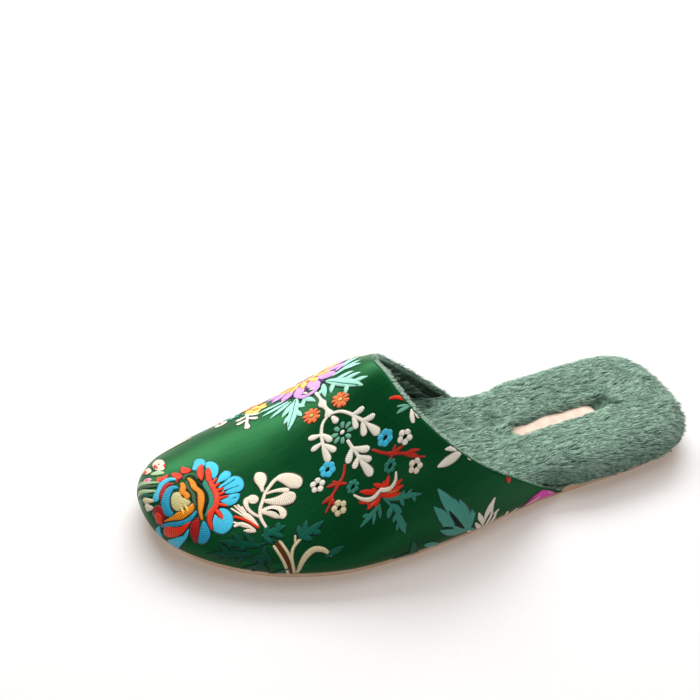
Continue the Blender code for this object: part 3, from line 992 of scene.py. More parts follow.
bpy.ops.object.select_all(action="DESELECT")
bpy.ops.mesh.primitive_grid_add(x_subdivisions=8, y_subdivisions=40, size=2)
label = bpy.context.object
label.name = label.data.name = "woven_label"
grid = points_of(label)
across, along = grid[:, 0] * 4.3, grid[:, 1] * 23.2
fold = ease((np.abs(grid[:, 1]) - 0.9) / 0.1)
crown = 15.55 + 1.3 * (1 - grid[:, 1] ** 2) + 0.35 * (1 - grid[:, 0] ** 2)
crown += 0.25 * np.sin(along * 0.32 + 0.6) * (1 - fold) + 0.12 * grid[:, 0]
set_points(label, place(across, SLOT_MIDDLE + along, crown - 0.5 * fold))
use_modifier(label, "SOLIDIFY", thickness=0.5 * MM, offset=-1.0)
use_modifier(label, "BEVEL", width=0.12 * MM, segments=1)
dress(label, ribbon)
label.data.shade_smooth()
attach(label, "root")
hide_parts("label")
print("label:", len(label.data.polygons), "faces")

# %% [markdown]
# ## Needlework
#
# The flowers are worked in silk over a padding, so every petal, leaf and stem is a small raised
# cushion of thread. Two kinds are modelled. The first is a five-sided bar, for stems, leaves
# and strands, cut into 8, 14 or 26 lengths. The second is a low dome for rounder petals.

# %% Model the cushions
def bar_cushion(cuts):
    """A five-sided bar from 0 to 1 along Z, cut more finely near its ends."""
    bpy.ops.object.select_all(action="DESELECT")
    bpy.ops.mesh.primitive_cylinder_add(vertices=5, radius=1, depth=1, location=(0, 0, 0.5),
                                        end_fill_type="NOTHING")
    bar = bpy.context.object
    bpy.ops.object.transform_apply(location=True, rotation=False, scale=False)
    for i in range(1, cuts):
        at = (1 - math.cos(math.pi * i / cuts)) / 2
        edit((bpy.ops.mesh.bisect, {"plane_co": (0, 0, at), "plane_no": (0, 0, 1)}))
    edit((bpy.ops.mesh.quads_convert_to_tris, {}),
         (bpy.ops.mesh.normals_make_consistent, {"inside": False}))
    form = points_of(bar)
    corners = np.array([list(face.vertices) for face in bar.data.polygons])
    bpy.data.objects.remove(bar)
    rank = np.round(np.degrees(np.arctan2(form[:, 0], form[:, 1])) / 72).astype(int)
    across = np.select([rank == 0, np.abs(rank) == 1], [0.0, 0.68], 1.0) * np.sign(rank)
    up = np.select([rank == 0, np.abs(rank) == 1], [1.0, 0.84], 0.0)
    return {"at": np.clip(form[:, 2], 0, 1), "across": across, "up": up, "faces": corners}


def in_order(form, corners):
    """Number points and faces by their place, so that every run gives the same list."""
    order = np.lexsort(form.round(5).T)
    corners = np.argsort(order)[corners]
    turned = (corners.argmin(axis=1)[:, None] + np.arange(3)) % 3
    corners = np.take_along_axis(corners, turned, 1)
    return form[order], corners[np.lexsort(corners.T[::-1])]


def dome_cushion():
    """The upper half of a ball, closed underneath."""
    bpy.ops.object.select_all(action="DESELECT")
    bpy.ops.mesh.primitive_uv_sphere_add(segments=24, ring_count=8, radius=1)
    dome = bpy.context.object
    edit((bpy.ops.mesh.bisect, {"plane_co": (0, 0, 0), "plane_no": (0, 0, 1),
                                "clear_inner": True, "use_fill": True}))
    edit((bpy.ops.mesh.quads_convert_to_tris, {}),
         (bpy.ops.mesh.normals_make_consistent, {"inside": False}))
    corners = np.array([list(face.vertices) for face in dome.data.polygons])
    form, corners = in_order(points_of(dome), corners)
    bpy.data.objects.remove(dome)
    return {"turn": np.arctan2(form[:, 1], form[:, 0]) / (2 * math.pi) % 1.0,
            "out": np.clip(np.hypot(form[:, 0], form[:, 1]), 0, 1) ** 1.6, "up": form[:, 2],
            "faces": corners}


BARS = [bar_cushion(8), bar_cushion(14), bar_cushion(26)]
DOME = dome_cushion()
print("triangles in a cushion:", [len(c["faces"]) for c in BARS], len(DOME["faces"]))

# %% [markdown]
# ## Silk
#
# Each thread colour is a finish of its own. Fine waves across the UV map are the single
# threads. An attribute differs a little from cushion to cushion, which keeps the work from
# looking printed, and falls to 0 at the rim, where it paints a near-black edge round each
# shape: a painted shade where the cushion meets the cloth.

# %% Thread colours
THREADS = {
    "white": (228, 222, 206), "cream": (226, 212, 192), "ivory": (206, 192, 152),
    "cyan": (60, 178, 210), "blue": (34, 138, 172), "red": (212, 50, 22),
    "crimson": (150, 18, 22), "coral": (216, 104, 52), "orange": (212, 124, 14),
    "gold": (242, 198, 98), "teal": (50, 122, 104), "lagoon": (62, 146, 132), "pine": (24, 88, 72),
    "fir": (14, 70, 54), "jade": (98, 162, 136), "mint": (158, 220, 202),
    "lilac": (202, 148, 212), "purple": (98, 40, 118), "magenta": (226, 62, 174),
    "pink": (226, 140, 180), "brown": (90, 50, 26), "khaki": (184, 174, 118),
    "sage": (150, 176, 132), "moss": (62, 86, 66), "blush": (226, 204, 180),
    "rust": (178, 46, 28), "shadow": (5, 30, 18),
}


def silk(name, colour):
    """Silk floss: fine parallel threads with a soft shine."""
    gloss = 0.12 if max(colour) < 130 else 0.3
    made, shader = finish("silk_" + name, 0.45, Sheen_Weight=gloss / 3, Sheen_Roughness=0.4,
                          Specular_IOR_Level=gloss)
    floss = node(made, "ShaderNodeTexWave", {"bands_direction": "X"},
                 Vector=place_map(made, "UV", (1, 1, 1)), Scale=400.0, Distortion=1.2,
                 Detail=1.0).outputs["Fac"]
    dark = tuple(c * 0.6 for c in dye(*colour)[:3]) + (1.0,)
    worked = ramp(made, floss, (0.1, dark), (0.5, dye(*colour)))
    tone_and_shade = node(made, "ShaderNodeAttribute", {"attribute_name": "tone_and_shade"}).outputs["Fac"]
    # Where the attribute falls to 0 at the rim, the silk is painted near black, a painted shade where the
    # cushion meets the cloth.
    shade = ramp(made, tone_and_shade, (0.3, (0.03, 0.04, 0.03, 1)), (0.5, (0.80, 0.80, 0.80, 1)),
                 (0.8, (0.92, 0.92, 0.92, 1)), (1.0, (1.06, 1.06, 1.06, 1)))
    link(made, multiply(made, worked, shade), shader.inputs["Base Color"])
    link(made, bump(made, floss, 0.00016, 0.7), shader.inputs["Normal"])
    return made


SILK = {name: silk(name, colour) for name, colour in THREADS.items()}
print(len(SILK), "thread colours")

# %% [markdown]
# ## Sewing
#
# A motif is a list of rows, one for each cushion: a thread colour, then pattern points in mm.
# Points with three numbers, station, girth and width, run along the middle of a bar. Points
# with two numbers go round the rim of a dome. The word `over` lifts a cushion onto those under
# it, `under` makes it thin, and `long` turns its threads to run lengthwise. Cushions end at
# the cut edge of the satin.


# %% Rows of a motif
def stem(thread, width, *points):
    """An even strand through its points."""
    return (thread,) + tuple((s, g, width) for s, g in points)


def leaf(thread, root, tip, width, bow=0.0):
    """A leaf from root to tip, widest past its middle, and bowed sideways."""
    ds, dg = tip[0] - root[0], tip[1] - root[1]
    size = math.hypot(ds, dg)
    steps = ((0, 0, 0.36), (0.3, 0.8, 0.96), (0.56, 1, 1.06), (0.82, 0.55, 0.66), (1, 0, 0.06))
    return (thread,) + tuple((root[0] + ds * f - dg / size * bow * b,
                              root[1] + dg * f + ds / size * bow * b, width * w)
                             for f, b, w in steps)


def paddle(thread, root, tip, width, bow=0.0):
    """A leaf with a round end."""
    ends = leaf(thread, root, tip, width, bow)[1:]
    widths = (0.4, 0.74, 1.0, 1.04, 0.7)
    return (thread,) + tuple((s, g, width * w) for (s, g, _), w in zip(ends, widths))


def leaves(thread, *each):
    """Leaves of one thread, each from its root, tip, width and bow."""
    return [leaf(thread, *one) for one in each]


def paddles(thread, *each):
    """The same with round ends."""
    return [paddle(thread, *one) for one in each]


def ring(thread, station, tape, reach, count=8, stretch=1.0):
    """The rim of a round dome."""
    turns = [2 * math.pi * k / count for k in range(count)]
    return (thread,) + tuple((station + reach * stretch * math.cos(a),
                              tape + reach * math.sin(a)) for a in turns)


def frond(thread, width, root, tip, *lobes):
    """A feathered leaf: a blade from root to tip, and a lobe out to each further point."""
    ds, dg = tip[0] - root[0], tip[1] - root[1]
    size = math.hypot(ds, dg)
    rows = [leaf(thread, root, tip, width)]
    for end in lobes:
        along = ((end[0] - root[0]) * ds + (end[1] - root[1]) * dg) / size
        off = abs((end[0] - root[0]) * dg - (end[1] - root[1]) * ds) / size
        start = min(max(along - 0.9 * off, 0.08 * size), 0.85 * size) / size
        rows.append(leaf(thread, (root[0] + ds * start, root[1] + dg * start), end, width * 0.8))
    return rows


def blossom(thread, station, tape, reach, petals, width, start=0.0, core=None, stretch=1.0,
            heart=0.2):
    """A small flower: petals round a middle, and a stitch of another thread on it."""
    rows = []
    for k in range(petals):
        turn = math.radians(start + 360 * k / petals)
        ds, dg = math.cos(turn) * reach * stretch, math.sin(turn) * reach
        rows.append((thread + " long", (station + ds * heart, tape + dg * heart, width * 0.5),
                     (station + ds * 0.65, tape + dg * 0.65, width),
                     (station + ds, tape + dg, width * 0.85)))
    if core:
        rows.append((core, (station - 1.1, tape - 0.5, 0.8), (station + 1.1, tape + 0.5, 0.8)))
    return rows


# %% Bend cushions to their rows
# The rim of painted shade reaches this far past the silk, in mm.
SHADE_RIM = 0.42                       # how far the dark rim reaches past the silk, in mm


def curve(points, at):
    """A smooth curve through rows of numbers, read at shares of its length from 0 to 1."""
    p = np.array(points, float)
    chord = np.hypot(*np.diff(p[:, :2], axis=0).T)
    knot = np.concatenate(([0], np.cumsum(chord)))
    slope = np.gradient(p, knot, axis=0)
    where = at * knot[-1]
    i = np.clip(np.searchsorted(knot, where) - 1, 0, len(chord) - 1)
    h = chord[i][:, None]
    f = (where - knot[i])[:, None] / h
    value = (p[i] * (1 + 2 * f) * (1 - f) ** 2 + p[i + 1] * f * f * (3 - 2 * f)
             + slope[i] * h * f * (1 - f) ** 2 - slope[i + 1] * h * f * f * (1 - f))
    way = (6 * f * (1 - f) * (p[i + 1] - p[i]) / h + slope[i] * (1 - f) * (1 - 3 * f)
           + slope[i + 1] * f * (3 * f - 2))
    return value, way[:, :2] / np.maximum(np.hypot(way[:, 0], way[:, 1]), 1e-9)[:, None], knot[-1]


def bend_bar(points, thick):
    """A bar along its points: pattern points, heights, thread directions and faces."""
    size = sum(math.dist(a[:2], b[:2]) for a, b in zip(points, points[1:]))
    form = BARS[0 if size < 6 else 1 if size < 16 else 2]
    value, way, total = curve(points, form["at"])
    width = np.maximum(value[:, 2] - 0.2, 0.3) / 2
    rim = np.where(form["up"] == 0, SHADE_RIM, 0.0)
    for gap in (form["at"] * total, (1 - form["at"]) * total):
        near = np.clip(gap / width, 0, 1)
        rounding = np.sqrt(1 - (1 - near) ** 2)
        width, rim = width * rounding + 1e-9, rim * rounding
    aside = np.stack((-way[:, 1], way[:, 0]), -1)
    reach = width * form["across"] + rim * np.sign(form["across"])
    full = np.sqrt(np.clip(width / 0.9, 0.0, 1.0))
    return (value[:, :2] + aside * reach[:, None], thick * form["up"] * full,
            np.stack((form["at"] * total, reach), -1), form["faces"], form["up"] == 0)


def bend_dome(points, thick):
    """A dome whose rim goes round its points."""
    p = np.array(points, float)
    centre = p.mean(axis=0)
    around = np.vstack((p[-2:], p, p[:3]))
    count = len(p)
    total = curve(around, np.array([0.0]))[2]
    knot = np.concatenate(([0], np.cumsum(np.hypot(*np.diff(around, axis=0).T)))) / total
    where = knot[2] + DOME["turn"] * (knot[2 + count] - knot[2])
    rim = curve(around, where)[0]
    edge = DOME["out"] > 0.999
    grown = 1 + (edge * SHADE_RIM - 0.1) / np.maximum(np.hypot(*(rim - centre).T), 0.3)
    on_pattern = centre + (rim - centre) * (DOME["out"] * grown)[:, None]
    height = np.where(edge, 0.0, thick * (0.25 + 0.75 * DOME["up"]))
    away = p - centre
    axis = np.linalg.eigh(away.T @ away)[1][:, 1]
    stitch = np.stack(((on_pattern - centre) @ axis,
                       (on_pattern - centre) @ np.array((-axis[1], axis[0]))), -1)
    return on_pattern, height, stitch, DOME["faces"], edge


def trim(on_pattern, height):
    """Tuck whatever lies past the edges of the satin under the cloth."""
    on_pattern[:, 0] = np.minimum(on_pattern[:, 0], LENGTH - 0.4)
    for side in (1, -1):
        mine = on_pattern[:, 1] * side > 0
        run = girth(on_pattern[:, 0], side, 1.0)
        low = mine & (np.abs(on_pattern[:, 1]) > run - 0.8)
        on_pattern[low, 1] = side * (run[low] - 0.8)
        height[low] = -0.3
        edge = collar_edge(on_pattern[:, 1], side) + 0.4
        out = mine & (on_pattern[:, 0] < edge)
        on_pattern[out, 0] = edge[out]
        height[out] = -0.3


def collar_edge(tape, side):
    """Station of the collar's cut edge at a girth."""
    part = np.linspace(0, 1, 200)
    end = COLLAR_END[side]
    station = COLLAR_PEAK + (end - COLLAR_PEAK) * part ** COLLAR_POWER
    run = girth(station, side, part * ACROSS / (ACROSS + UNDER))
    return np.interp(np.abs(tape), run, station)


def sew(name, rows, thick=0.34):
    """One motif: all its cushions in one piece, each in the silk of its thread."""
    used = sorted({row[0].split()[0] for row in rows})
    parts = {"verts": [], "faces": [], "mats": [], "uv": [], "tone_and_shade": []}
    count = 0
    for row in rows:
        words = row[0].split()
        lift = 0.2 * sum(word == "over" for word in words)
        bent = bend_dome if len(row[1]) == 2 else bend_bar
        on_pattern, height, stitch, faces, edge = bent(row[1:], thick * (0.35 if "under" in words
                                                                         else 1))
        height += lift + 0.02
        trim(on_pattern, height)
        position = wrap(on_pattern[:, 0], on_pattern[:, 1], height)[0]
        parts["verts"].append(position)
        parts["faces"].append(faces + count)
        parts["mats"].append(np.full(len(faces), used.index(words[0])))
        parts["uv"].append(stitch[:, ::-1] if "long" in words else stitch)
        # The attribute is random from cushion to cushion and 0 at the rim, the painted shade round each
        # shape.
        parts["tone_and_shade"].append(np.where(edge, 0.0, rng.uniform(0.8, 1.0)))
        count += len(position)
    whole = {key: np.concatenate(value) for key, value in parts.items()}
    piece = join_mesh(name, whole["verts"], whole["faces"], [SILK[word] for word in used],
                      whole["mats"], whole["uv"])
    store = piece.data.attributes.new("tone_and_shade", "FLOAT", "POINT")
    store.data.foreach_set("value", whole["tone_and_shade"])
    only(piece)
    edit((bpy.ops.mesh.remove_doubles, {"threshold": 0.000001}),
         (bpy.ops.mesh.normals_make_consistent, {"inside": False}))
    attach(piece, "root")
    print(name + ":", len(rows), "cushions,", len(piece.data.polygons), "triangles")
    return piece


# %% [markdown]
# ## The peony on the toe
#
# The largest flower sits over the toes: a ring of blue petals, a toothed red arch, bands of
# teal and orange, and a pale heart inside blue and dark red crescents.

# %% Sew the peony
peony = [
    # blue petals, from the top round to the sole
    ("cyan", (236.7, -12.6), (238.8, -15.2), (241, -13.8), (242.8, -10.7), (244.6, -6),
     (241.6, -6), (239, -7.6), (237.3, -10)),
    ("cyan", (235.3, -11), (233.5, -9.2), (233, -6), (234, -2.6), (235.7, 0.4), (238.2, 2.4),
     (239.6, 1), (238.8, -3), (238.4, -7.6), (237.2, -10.4)),
    ("cyan", (229.7, 0.2), (231.4, -1.4), (233.5, -0.3), (236.4, 2.6), (238.4, 5), (235.2, 4.8),
     (232.6, 4), (230.4, 2.6)),
    ("cyan", (226.7, 5.5), (228.6, 3.3), (231.4, 3.4), (234.3, 5.4), (238, 7.2), (239, 10.2),
     (236, 12.5), (232.4, 13), (229, 12.5), (226.9, 9.4)),
    stem("shadow over", 0.5, (229.6, 5.4), (233, 6.8), (236.8, 8.4)),
    stem("shadow over", 0.5, (229.4, 9.4), (233, 9.8), (236.6, 10.4)),
    stem("shadow over", 0.4, (232.8, 15.2), (236.4, 15.8)),
    ("cyan", (230.8, 13.6), (233.3, 13), (236.7, 13.4), (240, 14.5), (239.6, 17), (237.8, 18.8),
     (235.2, 18.7), (232.6, 17.2)),
    ("cyan", (238.1, 21.7), (239.6, 19.3), (242, 19), (243.6, 21), (246.2, 21.4), (248, 24.6),
     (249, 26.6), (247.6, 29.8), (244.8, 31.7), (241.4, 30.7), (239, 28.3), (237.8, 25)),
    ("blue", (250.5, 23.1), (252.4, 25.5), (253.9, 28.3), (255.3, 32.2), (252.9, 33.2),
     (250.5, 31.6), (249.2, 28.4)),
    ("crimson", (251.9, 20.9), (254.8, 22), (256.8, 25.4), (257.2, 28.8), (256.2, 31.8),
     (254.4, 28.8), (252.9, 25.2)),
    ("cyan", (257, 24.4), (260, 26.2), (263.3, 25.4), (265.3, 25.2), (265.3, 28.8), (263.3, 33),
     (261.2, 29.6), (258.2, 27)),
    ("red", (255, 21.6), (258.6, 22.4), (262.4, 21), (265.8, 18.2), (266.5, 20.7), (265.2, 23.8),
     (262.2, 25.3), (259, 24.8), (256.6, 23.2)),
    ("blue", (251.6, 17.6, 1), (253.8, 19.7, 1.8), (257.1, 21, 2.1), (260.5, 20.5, 2.2),
     (263.8, 18.7, 1.8), (266.6, 16.8, 1)),
    # the red arch and its teeth
    ("red over", (239.3, -10), (241.2, -8.6), (243.2, -4.8), (244.2, -1), (243.6, 2.4),
     (241.8, -0.4), (240.2, -4.5)),
    ("red over", (237.1, -6.4), (238.9, -5), (240.7, -0.6), (241.5, 3.6), (240, 4.6),
     (238.6, 1), (237.3, -3)),
    ("red over", (240, 3, 2), (240.4, 6, 2.6), (240.3, 10.2, 3), (241, 14, 2.8),
     (242.9, 17.6, 2.6), (245.8, 20, 2.8), (248, 24, 2.2), (248.4, 28.4, 0.9)),
    *leaves("red over", ((240.4, 5), (236.4, 2.2), 1.4), ((240.4, 7.4), (236.6, 5.2), 1.4),
            ((240.4, 9.6), (235.8, 8.8), 1.6), ((240.6, 12), (236.2, 11), 1.4),
            ((241, 14), (235.6, 13.6), 1.5), ((242, 16.4), (238, 18.8), 1.6),
            ((243.4, 18.8), (242.4, 25), 2.2)),
    ("red", (245, -7.2), (245.8, -8.8), (247.7, -10.8), (249.5, -8.2), (250, -5.6), (247.4, -4.8)),
    ("red", (250.1, -5), (251.9, -6.9), (253.4, -7.6), (254.5, -4.6), (253.4, -1.8), (251, -2.4)),
    ("red", (255.4, -7.6), (257.6, -6.6), (260.6, -7.4), (261.6, -4.6), (257.4, -4.2)),
    ("crimson", (251, -2.6, 1), (253.2, -1.4, 1.6), (254.2, 0.4, 1)),
    # teal and orange bands, with dark lines between them
    ("teal", (241.8, 1.6, 1), (242.7, 4.6, 2.8), (242.5, 10.2, 2.8), (243.4, 14.4, 2.8),
     (245.8, 18, 2.4), (248.8, 21.4, 0.9)),
    ("moss", (244.6, 0.4, 1), (244.8, -2.4, 1.5), (247, -3.8, 1.6), (249.6, -2.6, 1.5),
     (250.6, -0.6, 1)),
    ("shadow", (246.2, -1.4, 1.4), (245.4, 2.6, 1.6), (244.5, 6, 1.5), (244.5, 10.2, 1.5),
     (246, 15, 1.4), (248.8, 19.6, 1)),
    ("orange", (248.5, -1.6, 1), (247.7, 1.8, 2.8), (248, 5.2, 3), (246.6, 8.4, 3),
     (247.4, 12, 3.2), (248.9, 15.6, 2.6), (250.2, 18.8, 1.7), (250.8, 22.8, 0.8)),
    ("moss", (250, 0.6, 1.2), (250.6, 5.2, 1.6), (249.8, 8.6, 1.8), (250.8, 12.6, 1.6),
     (251, 15.4, 0.9)),
    ("orange", (252.1, 0.8, 2), (252.4, 3.6, 2.6), (253.7, 6.4, 3), (252.6, 8.8, 3),
     (253.8, 10.6, 1.6)),
    # the heart
    ("khaki", (254.9, 5.8), (257.6, 5.4), (259.5, 7.8), (260.4, 10.6), (260.2, 13.8),
     (258.6, 15.4), (255.4, 14.8), (252.2, 13), (253, 10.6), (254.8, 9)),
    ("blue", (254.4, 3.4, 1.4), (257.1, 2.6, 3), (260.6, 5.4, 4), (262.4, 9.3, 3.9),
     (262.8, 13.1, 3.4), (261.4, 15.8, 1.8)),
    ("crimson", (255.6, 0.6, 1.2), (257.8, -0.2, 2.8), (260.7, 1.7, 3), (262.9, 4.5, 2.4),
     (263.6, 6.4, 1)),
    ("cyan", (253.6, -2, 1.6), (256.2, -3.2, 3), (259.6, -2.2, 2.8), (262.6, 1.2, 2.4),
     (264.8, 4, 3.2), (265.2, 6, 1.8)),
    ("orange", (251.3, 13.2), (253.4, 14.9), (256.4, 16), (259, 15.4), (262, 16.2),
     (266, 15.8), (262, 18), (258.6, 19.4), (254.8, 18.4), (251.8, 16.4)),
    *leaves("gold over", ((255.2, 13), (254.8, 17), 1.0), ((257, 13.8), (257, 17.6), 1.0)),
    ("crimson", (264.3, 9.3), (266.2, 7.4), (268, 8.8), (267.5, 12.6), (266.7, 17), (264.6, 15.4),
     (263.9, 12.6)),
    leaf("red over", (266.9, 10.4), (266.2, 16.4), 2.2),
    stem("cyan", 1.2, (267.6, 16), (267.8, 19), (267.4, 22.6)),
]
sew("toe_peony", peony)

# %% Buds and blades beside the peony
toe_buds = [
    ("blush", (256.8, -11.8, 3), (256.6, -15, 5), (256, -19, 6), (255.4, -23, 5),
     (255, -25.4, 3)),
    *leaves("red over", ((257.8, -14.4), (257.4, -21), 1.1), ((254.8, -13.8), (253.8, -17.4), 0.9)),
    leaf("crimson over", (256.2, -17), (255.6, -20.4), 0.8),
    ("blush", (261.6, -14.6, 2.4), (261.8, -18, 4), (261.4, -22.4, 3)),
    leaf("red over", (262.6, -16.4), (262, -21.4), 1.4),
    ("sage", (256.6, -8.8, 1.6), (259, -11.2, 4.2), (261.6, -13, 2.4)),
    ("pink", (263, -7.6, 1.6), (264.4, -9.8, 3), (265, -11.6, 2)),
    leaf("red over", (263.8, -8.8), (264.8, -11), 1.0),
    ("sage", (260.6, -3.4, 0.9), (264, -6.4, 1.9), (266.6, -10.4, 2.2), (268, -15, 1.4)),
    ("moss", (262.4, -1.6, 0.9), (265.6, -4.6, 2.0), (267.8, -8.6, 2.0), (268.8, -13, 1.2)),
    ("sage", (263.8, 0.8, 0.9), (266.6, -1.8, 1.8), (268.6, -5.4, 1.9), (269.2, -9.4, 1.2)),
    ("pine", (265, 2.6, 0.9), (267.6, 0.2, 1.7), (269, -3.4, 1.5)),
    ("ivory", (266, 5, 0.9), (268, 2.8, 1.8), (269.3, -0.4, 1.4)),
    ("cream", (267.4, 7.6, 0.9), (268.8, 5.4, 1.7), (269.4, 2.6, 1.2)),
]
sew("toe_buds", toe_buds)

# %% [markdown]
# ## The outer side
#
# Behind the peony a pale branch curls over the foot, with a small fan and dark teal leaves at
# its root. Reeds grow from the sole below it.

# %% Sew the curled branch
branch = [
    ("cream", (226.4, 34.6, 1.2), (226.9, 28.3, 1.5), (225.4, 24.4, 1.5), (222.9, 21, 1.4),
     (220.5, 17.8, 1.4), (217.6, 15.6, 1.6), (214.3, 13.6, 1.9), (211.2, 13.2, 2.2)),
    ("cream", (219.5, 5.8, 3.6), (219.4, 8.6, 6), (220, 11.4, 5.6), (220.9, 14.4, 2.2),
     (221.4, 17, 1.3)),
    ("cream", (213.6, 12.8, 2.6), (210.8, 14.4, 5.6), (208.2, 17.6, 7.4), (206.8, 20.8, 6.6),
     (206.6, 22.6, 3.6)),
    ("cream", (223, 21.2, 1.4), (219, 23.4, 4), (214.4, 24.6, 6.6), (211, 24.4, 7.4),
     (209.2, 24, 4.6)),
    ("cream", (220.4, 18.4, 1), (216.4, 18.8, 1.6), (213, 20.2, 2.6), (211, 21.8, 3.4)),
    ("cream", (226.2, 26.2, 1.6), (223.2, 26.8, 4.8), (220, 28.6, 7), (218.2, 31, 6),
     (218, 33, 3.4)),
    ("shadow over", (219, 31, 0.5), (219.4, 28.8, 1.3), (221, 27.2, 1.2), (223.6, 26.4, 0.5)),
    ring("cream", 226.6, 18.8, 2.5),
    ("cream", (227.4, 17.4, 2.4), (229.8, 18.8, 2.6), (230.6, 21.8, 1.9), (229.4, 25.6, 1.6),
     (227, 28.6, 1.3)),
    # the fan
    ("cream", (229.4, 33.4, 1), (230.8, 29.6, 2.8), (232.4, 26, 3.4), (233.4, 24.4, 2)),
    stem("cream", 0.9, (232.4, 26), (233.8, 19.2)), stem("cream", 0.9, (232.8, 25.8), (235.3, 19.2)),
    stem("cream", 0.9, (233.4, 26), (237.2, 20.2)), stem("cream", 0.8, (231.8, 26), (232.6, 20.6)),
    stem("red over", 1.3, (229.5, 33.3), (233.3, 27.9), (237.6, 24.6)),
    ("cream", (231.2, 34, 1), (233.3, 31.2, 1.9), (236.2, 29, 2), (239.4, 29.4, 0.9)),
    *leaves("cream", ((231, 34.4), (236, 32.4), 1.8), ((232.6, 32.6), (239.4, 26.6), 1.3)),
]
sew("curled_branch", branch)

# %% Sew the dark leaves
dark_leaves = [
    *frond("pine", 3.4, (215.6, 44.4), (202.8, 42), (209.4, 38), (213.4, 38.6), (205.6, 46.2),
           (210, 47)),
    *frond("pine", 3.2, (230, 37.4), (218.2, 36.4), (220.4, 33.8), (225.4, 33.6), (221, 41),
           (226.4, 42)),
    *frond("fir", 3.2, (231.4, 41.4), (247.8, 33.8), (236.2, 32.6), (240.6, 32), (244.8, 37.6),
           (240.8, 40.4)),
    *frond("fir", 3.0, (229.6, 42), (237.4, 55.4), (229, 51), (231, 56), (236.8, 46.4),
           (241.4, 50.6)),
    *frond("fir", 2.8, (236, 43.6), (253.6, 38), (243.4, 45.6), (248.6, 43.4), (247, 36)),
    stem("fir", 1.0, (222, 42), (227, 40.6), (232, 40.8)),
]
sew("dark_leaves", dark_leaves)

# %% Sew the reeds
reeds = [
    stem("ivory", 1.2, (223.4, 41.4), (221.7, 48), (220.4, 60)),
    stem("ivory", 1.2, (226.4, 42.8), (224.4, 50.7), (222.8, 60)),
    stem("brown", 1.5, (224.9, 42), (222.9, 51), (221.5, 60)),
    stem("ivory", 1.2, (221, 56), (220.4, 49.8), (218.8, 47), (215.9, 45.2), (212.2, 43.6)),
    stem("ivory", 0.8, (217.6, 46), (216.2, 42)), stem("ivory", 0.7, (215.2, 45), (212.8, 41.6)),
    stem("ivory", 0.7, (214.4, 44.6), (211.4, 45.6)),
    ("ivory", (219.4, 60, 1.2), (217.6, 55.2, 2.4), (214.3, 52.3, 2.9), (210.8, 51.4, 2.7),
     (207.1, 53.3, 2), (204.2, 57.8, 0.8)),
    *leaves("pine", ((222.6, 55), (231.4, 58.4), 2.6), ((207, 56.4), (198, 56.6), 2.8)),
]
sew("reeds", reeds)

# %% [markdown]
# ## The spray on the instep
#
# White branches fork over the instep, with daisies above and small flowers, red twigs and a
# carnation below. Its leaves are bars too, each from its root on the stem to its tip.

# %% Sew the white branches
spray = [
    ("white", (179.8, -24, 1.6), (180.4, -17.7, 1.5), (181, -12.4, 1.6), (181.7, -9.6, 4.2),
     (181.8, -6.6, 1.9), (181.9, -3, 2.2), (182.3, -0.8, 4.6), (182.4, 0.8, 2)),
    stem("white", 1.4, (182, -0.6), (178.4, 2), (175.8, 6.2), (174.5, 9.4), (172.9, 13), (171.4, 17.4)),
    stem("white", 1.4, (182.8, -0.6), (186, 1), (188.2, 4.2), (189.4, 7), (190.1, 10), (190.8, 12)),
    *paddles("white", ((181.9, 1.2), (181.4, 6.2), 2.6), ((175.2, 7.4), (169.8, 8.6), 2.8, -0.5),
            ((175, 8.6), (176.2, 15), 2.5), ((173.2, 13), (167.6, 15.4), 2.6, -0.4),
            ((173, 13.8), (174.6, 20.2), 2.8), ((171.6, 16.6), (169.2, 24), 3.3),
            ((189.2, 5.6), (194, 2.8), 2.8, 0.4), ((188.8, 5.6), (186.6, 12), 2.6),
            ((190.2, 9.6), (195.6, 9.6), 2.8), ((190, 10.8), (187, 17.4), 2.6),
            ((190.7, 11.4), (191.3, 19.8), 3.3)),
    # the middle sprig
    stem("white", 1.4, (181.2, 16.4), (180.8, 20.8), (180.2, 24), (179.8, 29)),
    *paddles("white", ((180.6, 21.4), (174.6, 26.6), 2.9, -0.4), ((180.9, 21), (185, 26), 3.2),
            ((180, 26), (175.6, 31.2), 2.7, -0.3), ((180.1, 26.4), (183.6, 29.8), 2.8),
            ((179.9, 28.6), (177.7, 37.4), 3.6)),
]
sew("white_branches", spray)

# %% Sew the small flowers
small = []
small += blossom("coral", 175.6, -3.7, 5.0, 9, 2.1, 10, stretch=0.74)
small += blossom("coral", 187.8, -7.5, 5.1, 9, 2.1, 4, stretch=0.74)
small += [ring("gold over", 175.6, -3.7, 0.8), ring("gold over", 187.8, -7.5, 0.8)]
small += blossom("jade", 181.5, 12, 5.0, 8, 1.9, 22, heart=0.38)
small += [ring("white over", 181.5, 11.9, 0.9)]
small += blossom("cyan", 167.6, 27.2, 3.6, 6, 3.5, 12, "shadow over")
small += blossom("cyan", 193.1, 22.4, 3.7, 6, 3.6, 20, "shadow over")
small += blossom("white", 160.2, 32.4, 3.5, 5, 3.0, 0, "shadow over")
small += blossom("white", 199.5, 26.2, 3.5, 5, 3.0, 30, "shadow over")
small += blossom("cream", 159.5, 46.3, 3.5, 5, 3.1, 15, "shadow over")
small += blossom("ivory", 194.9, 40.7, 3.6, 5, 3.1, 50, "shadow over")
small += blossom("teal", 169.6, 39, 3.0, 7, 2.2, 0, "shadow over")
small += blossom("teal", 186.6, 36.2, 3.0, 7, 2.2, 20, "shadow over")
sew("small_flowers", small)

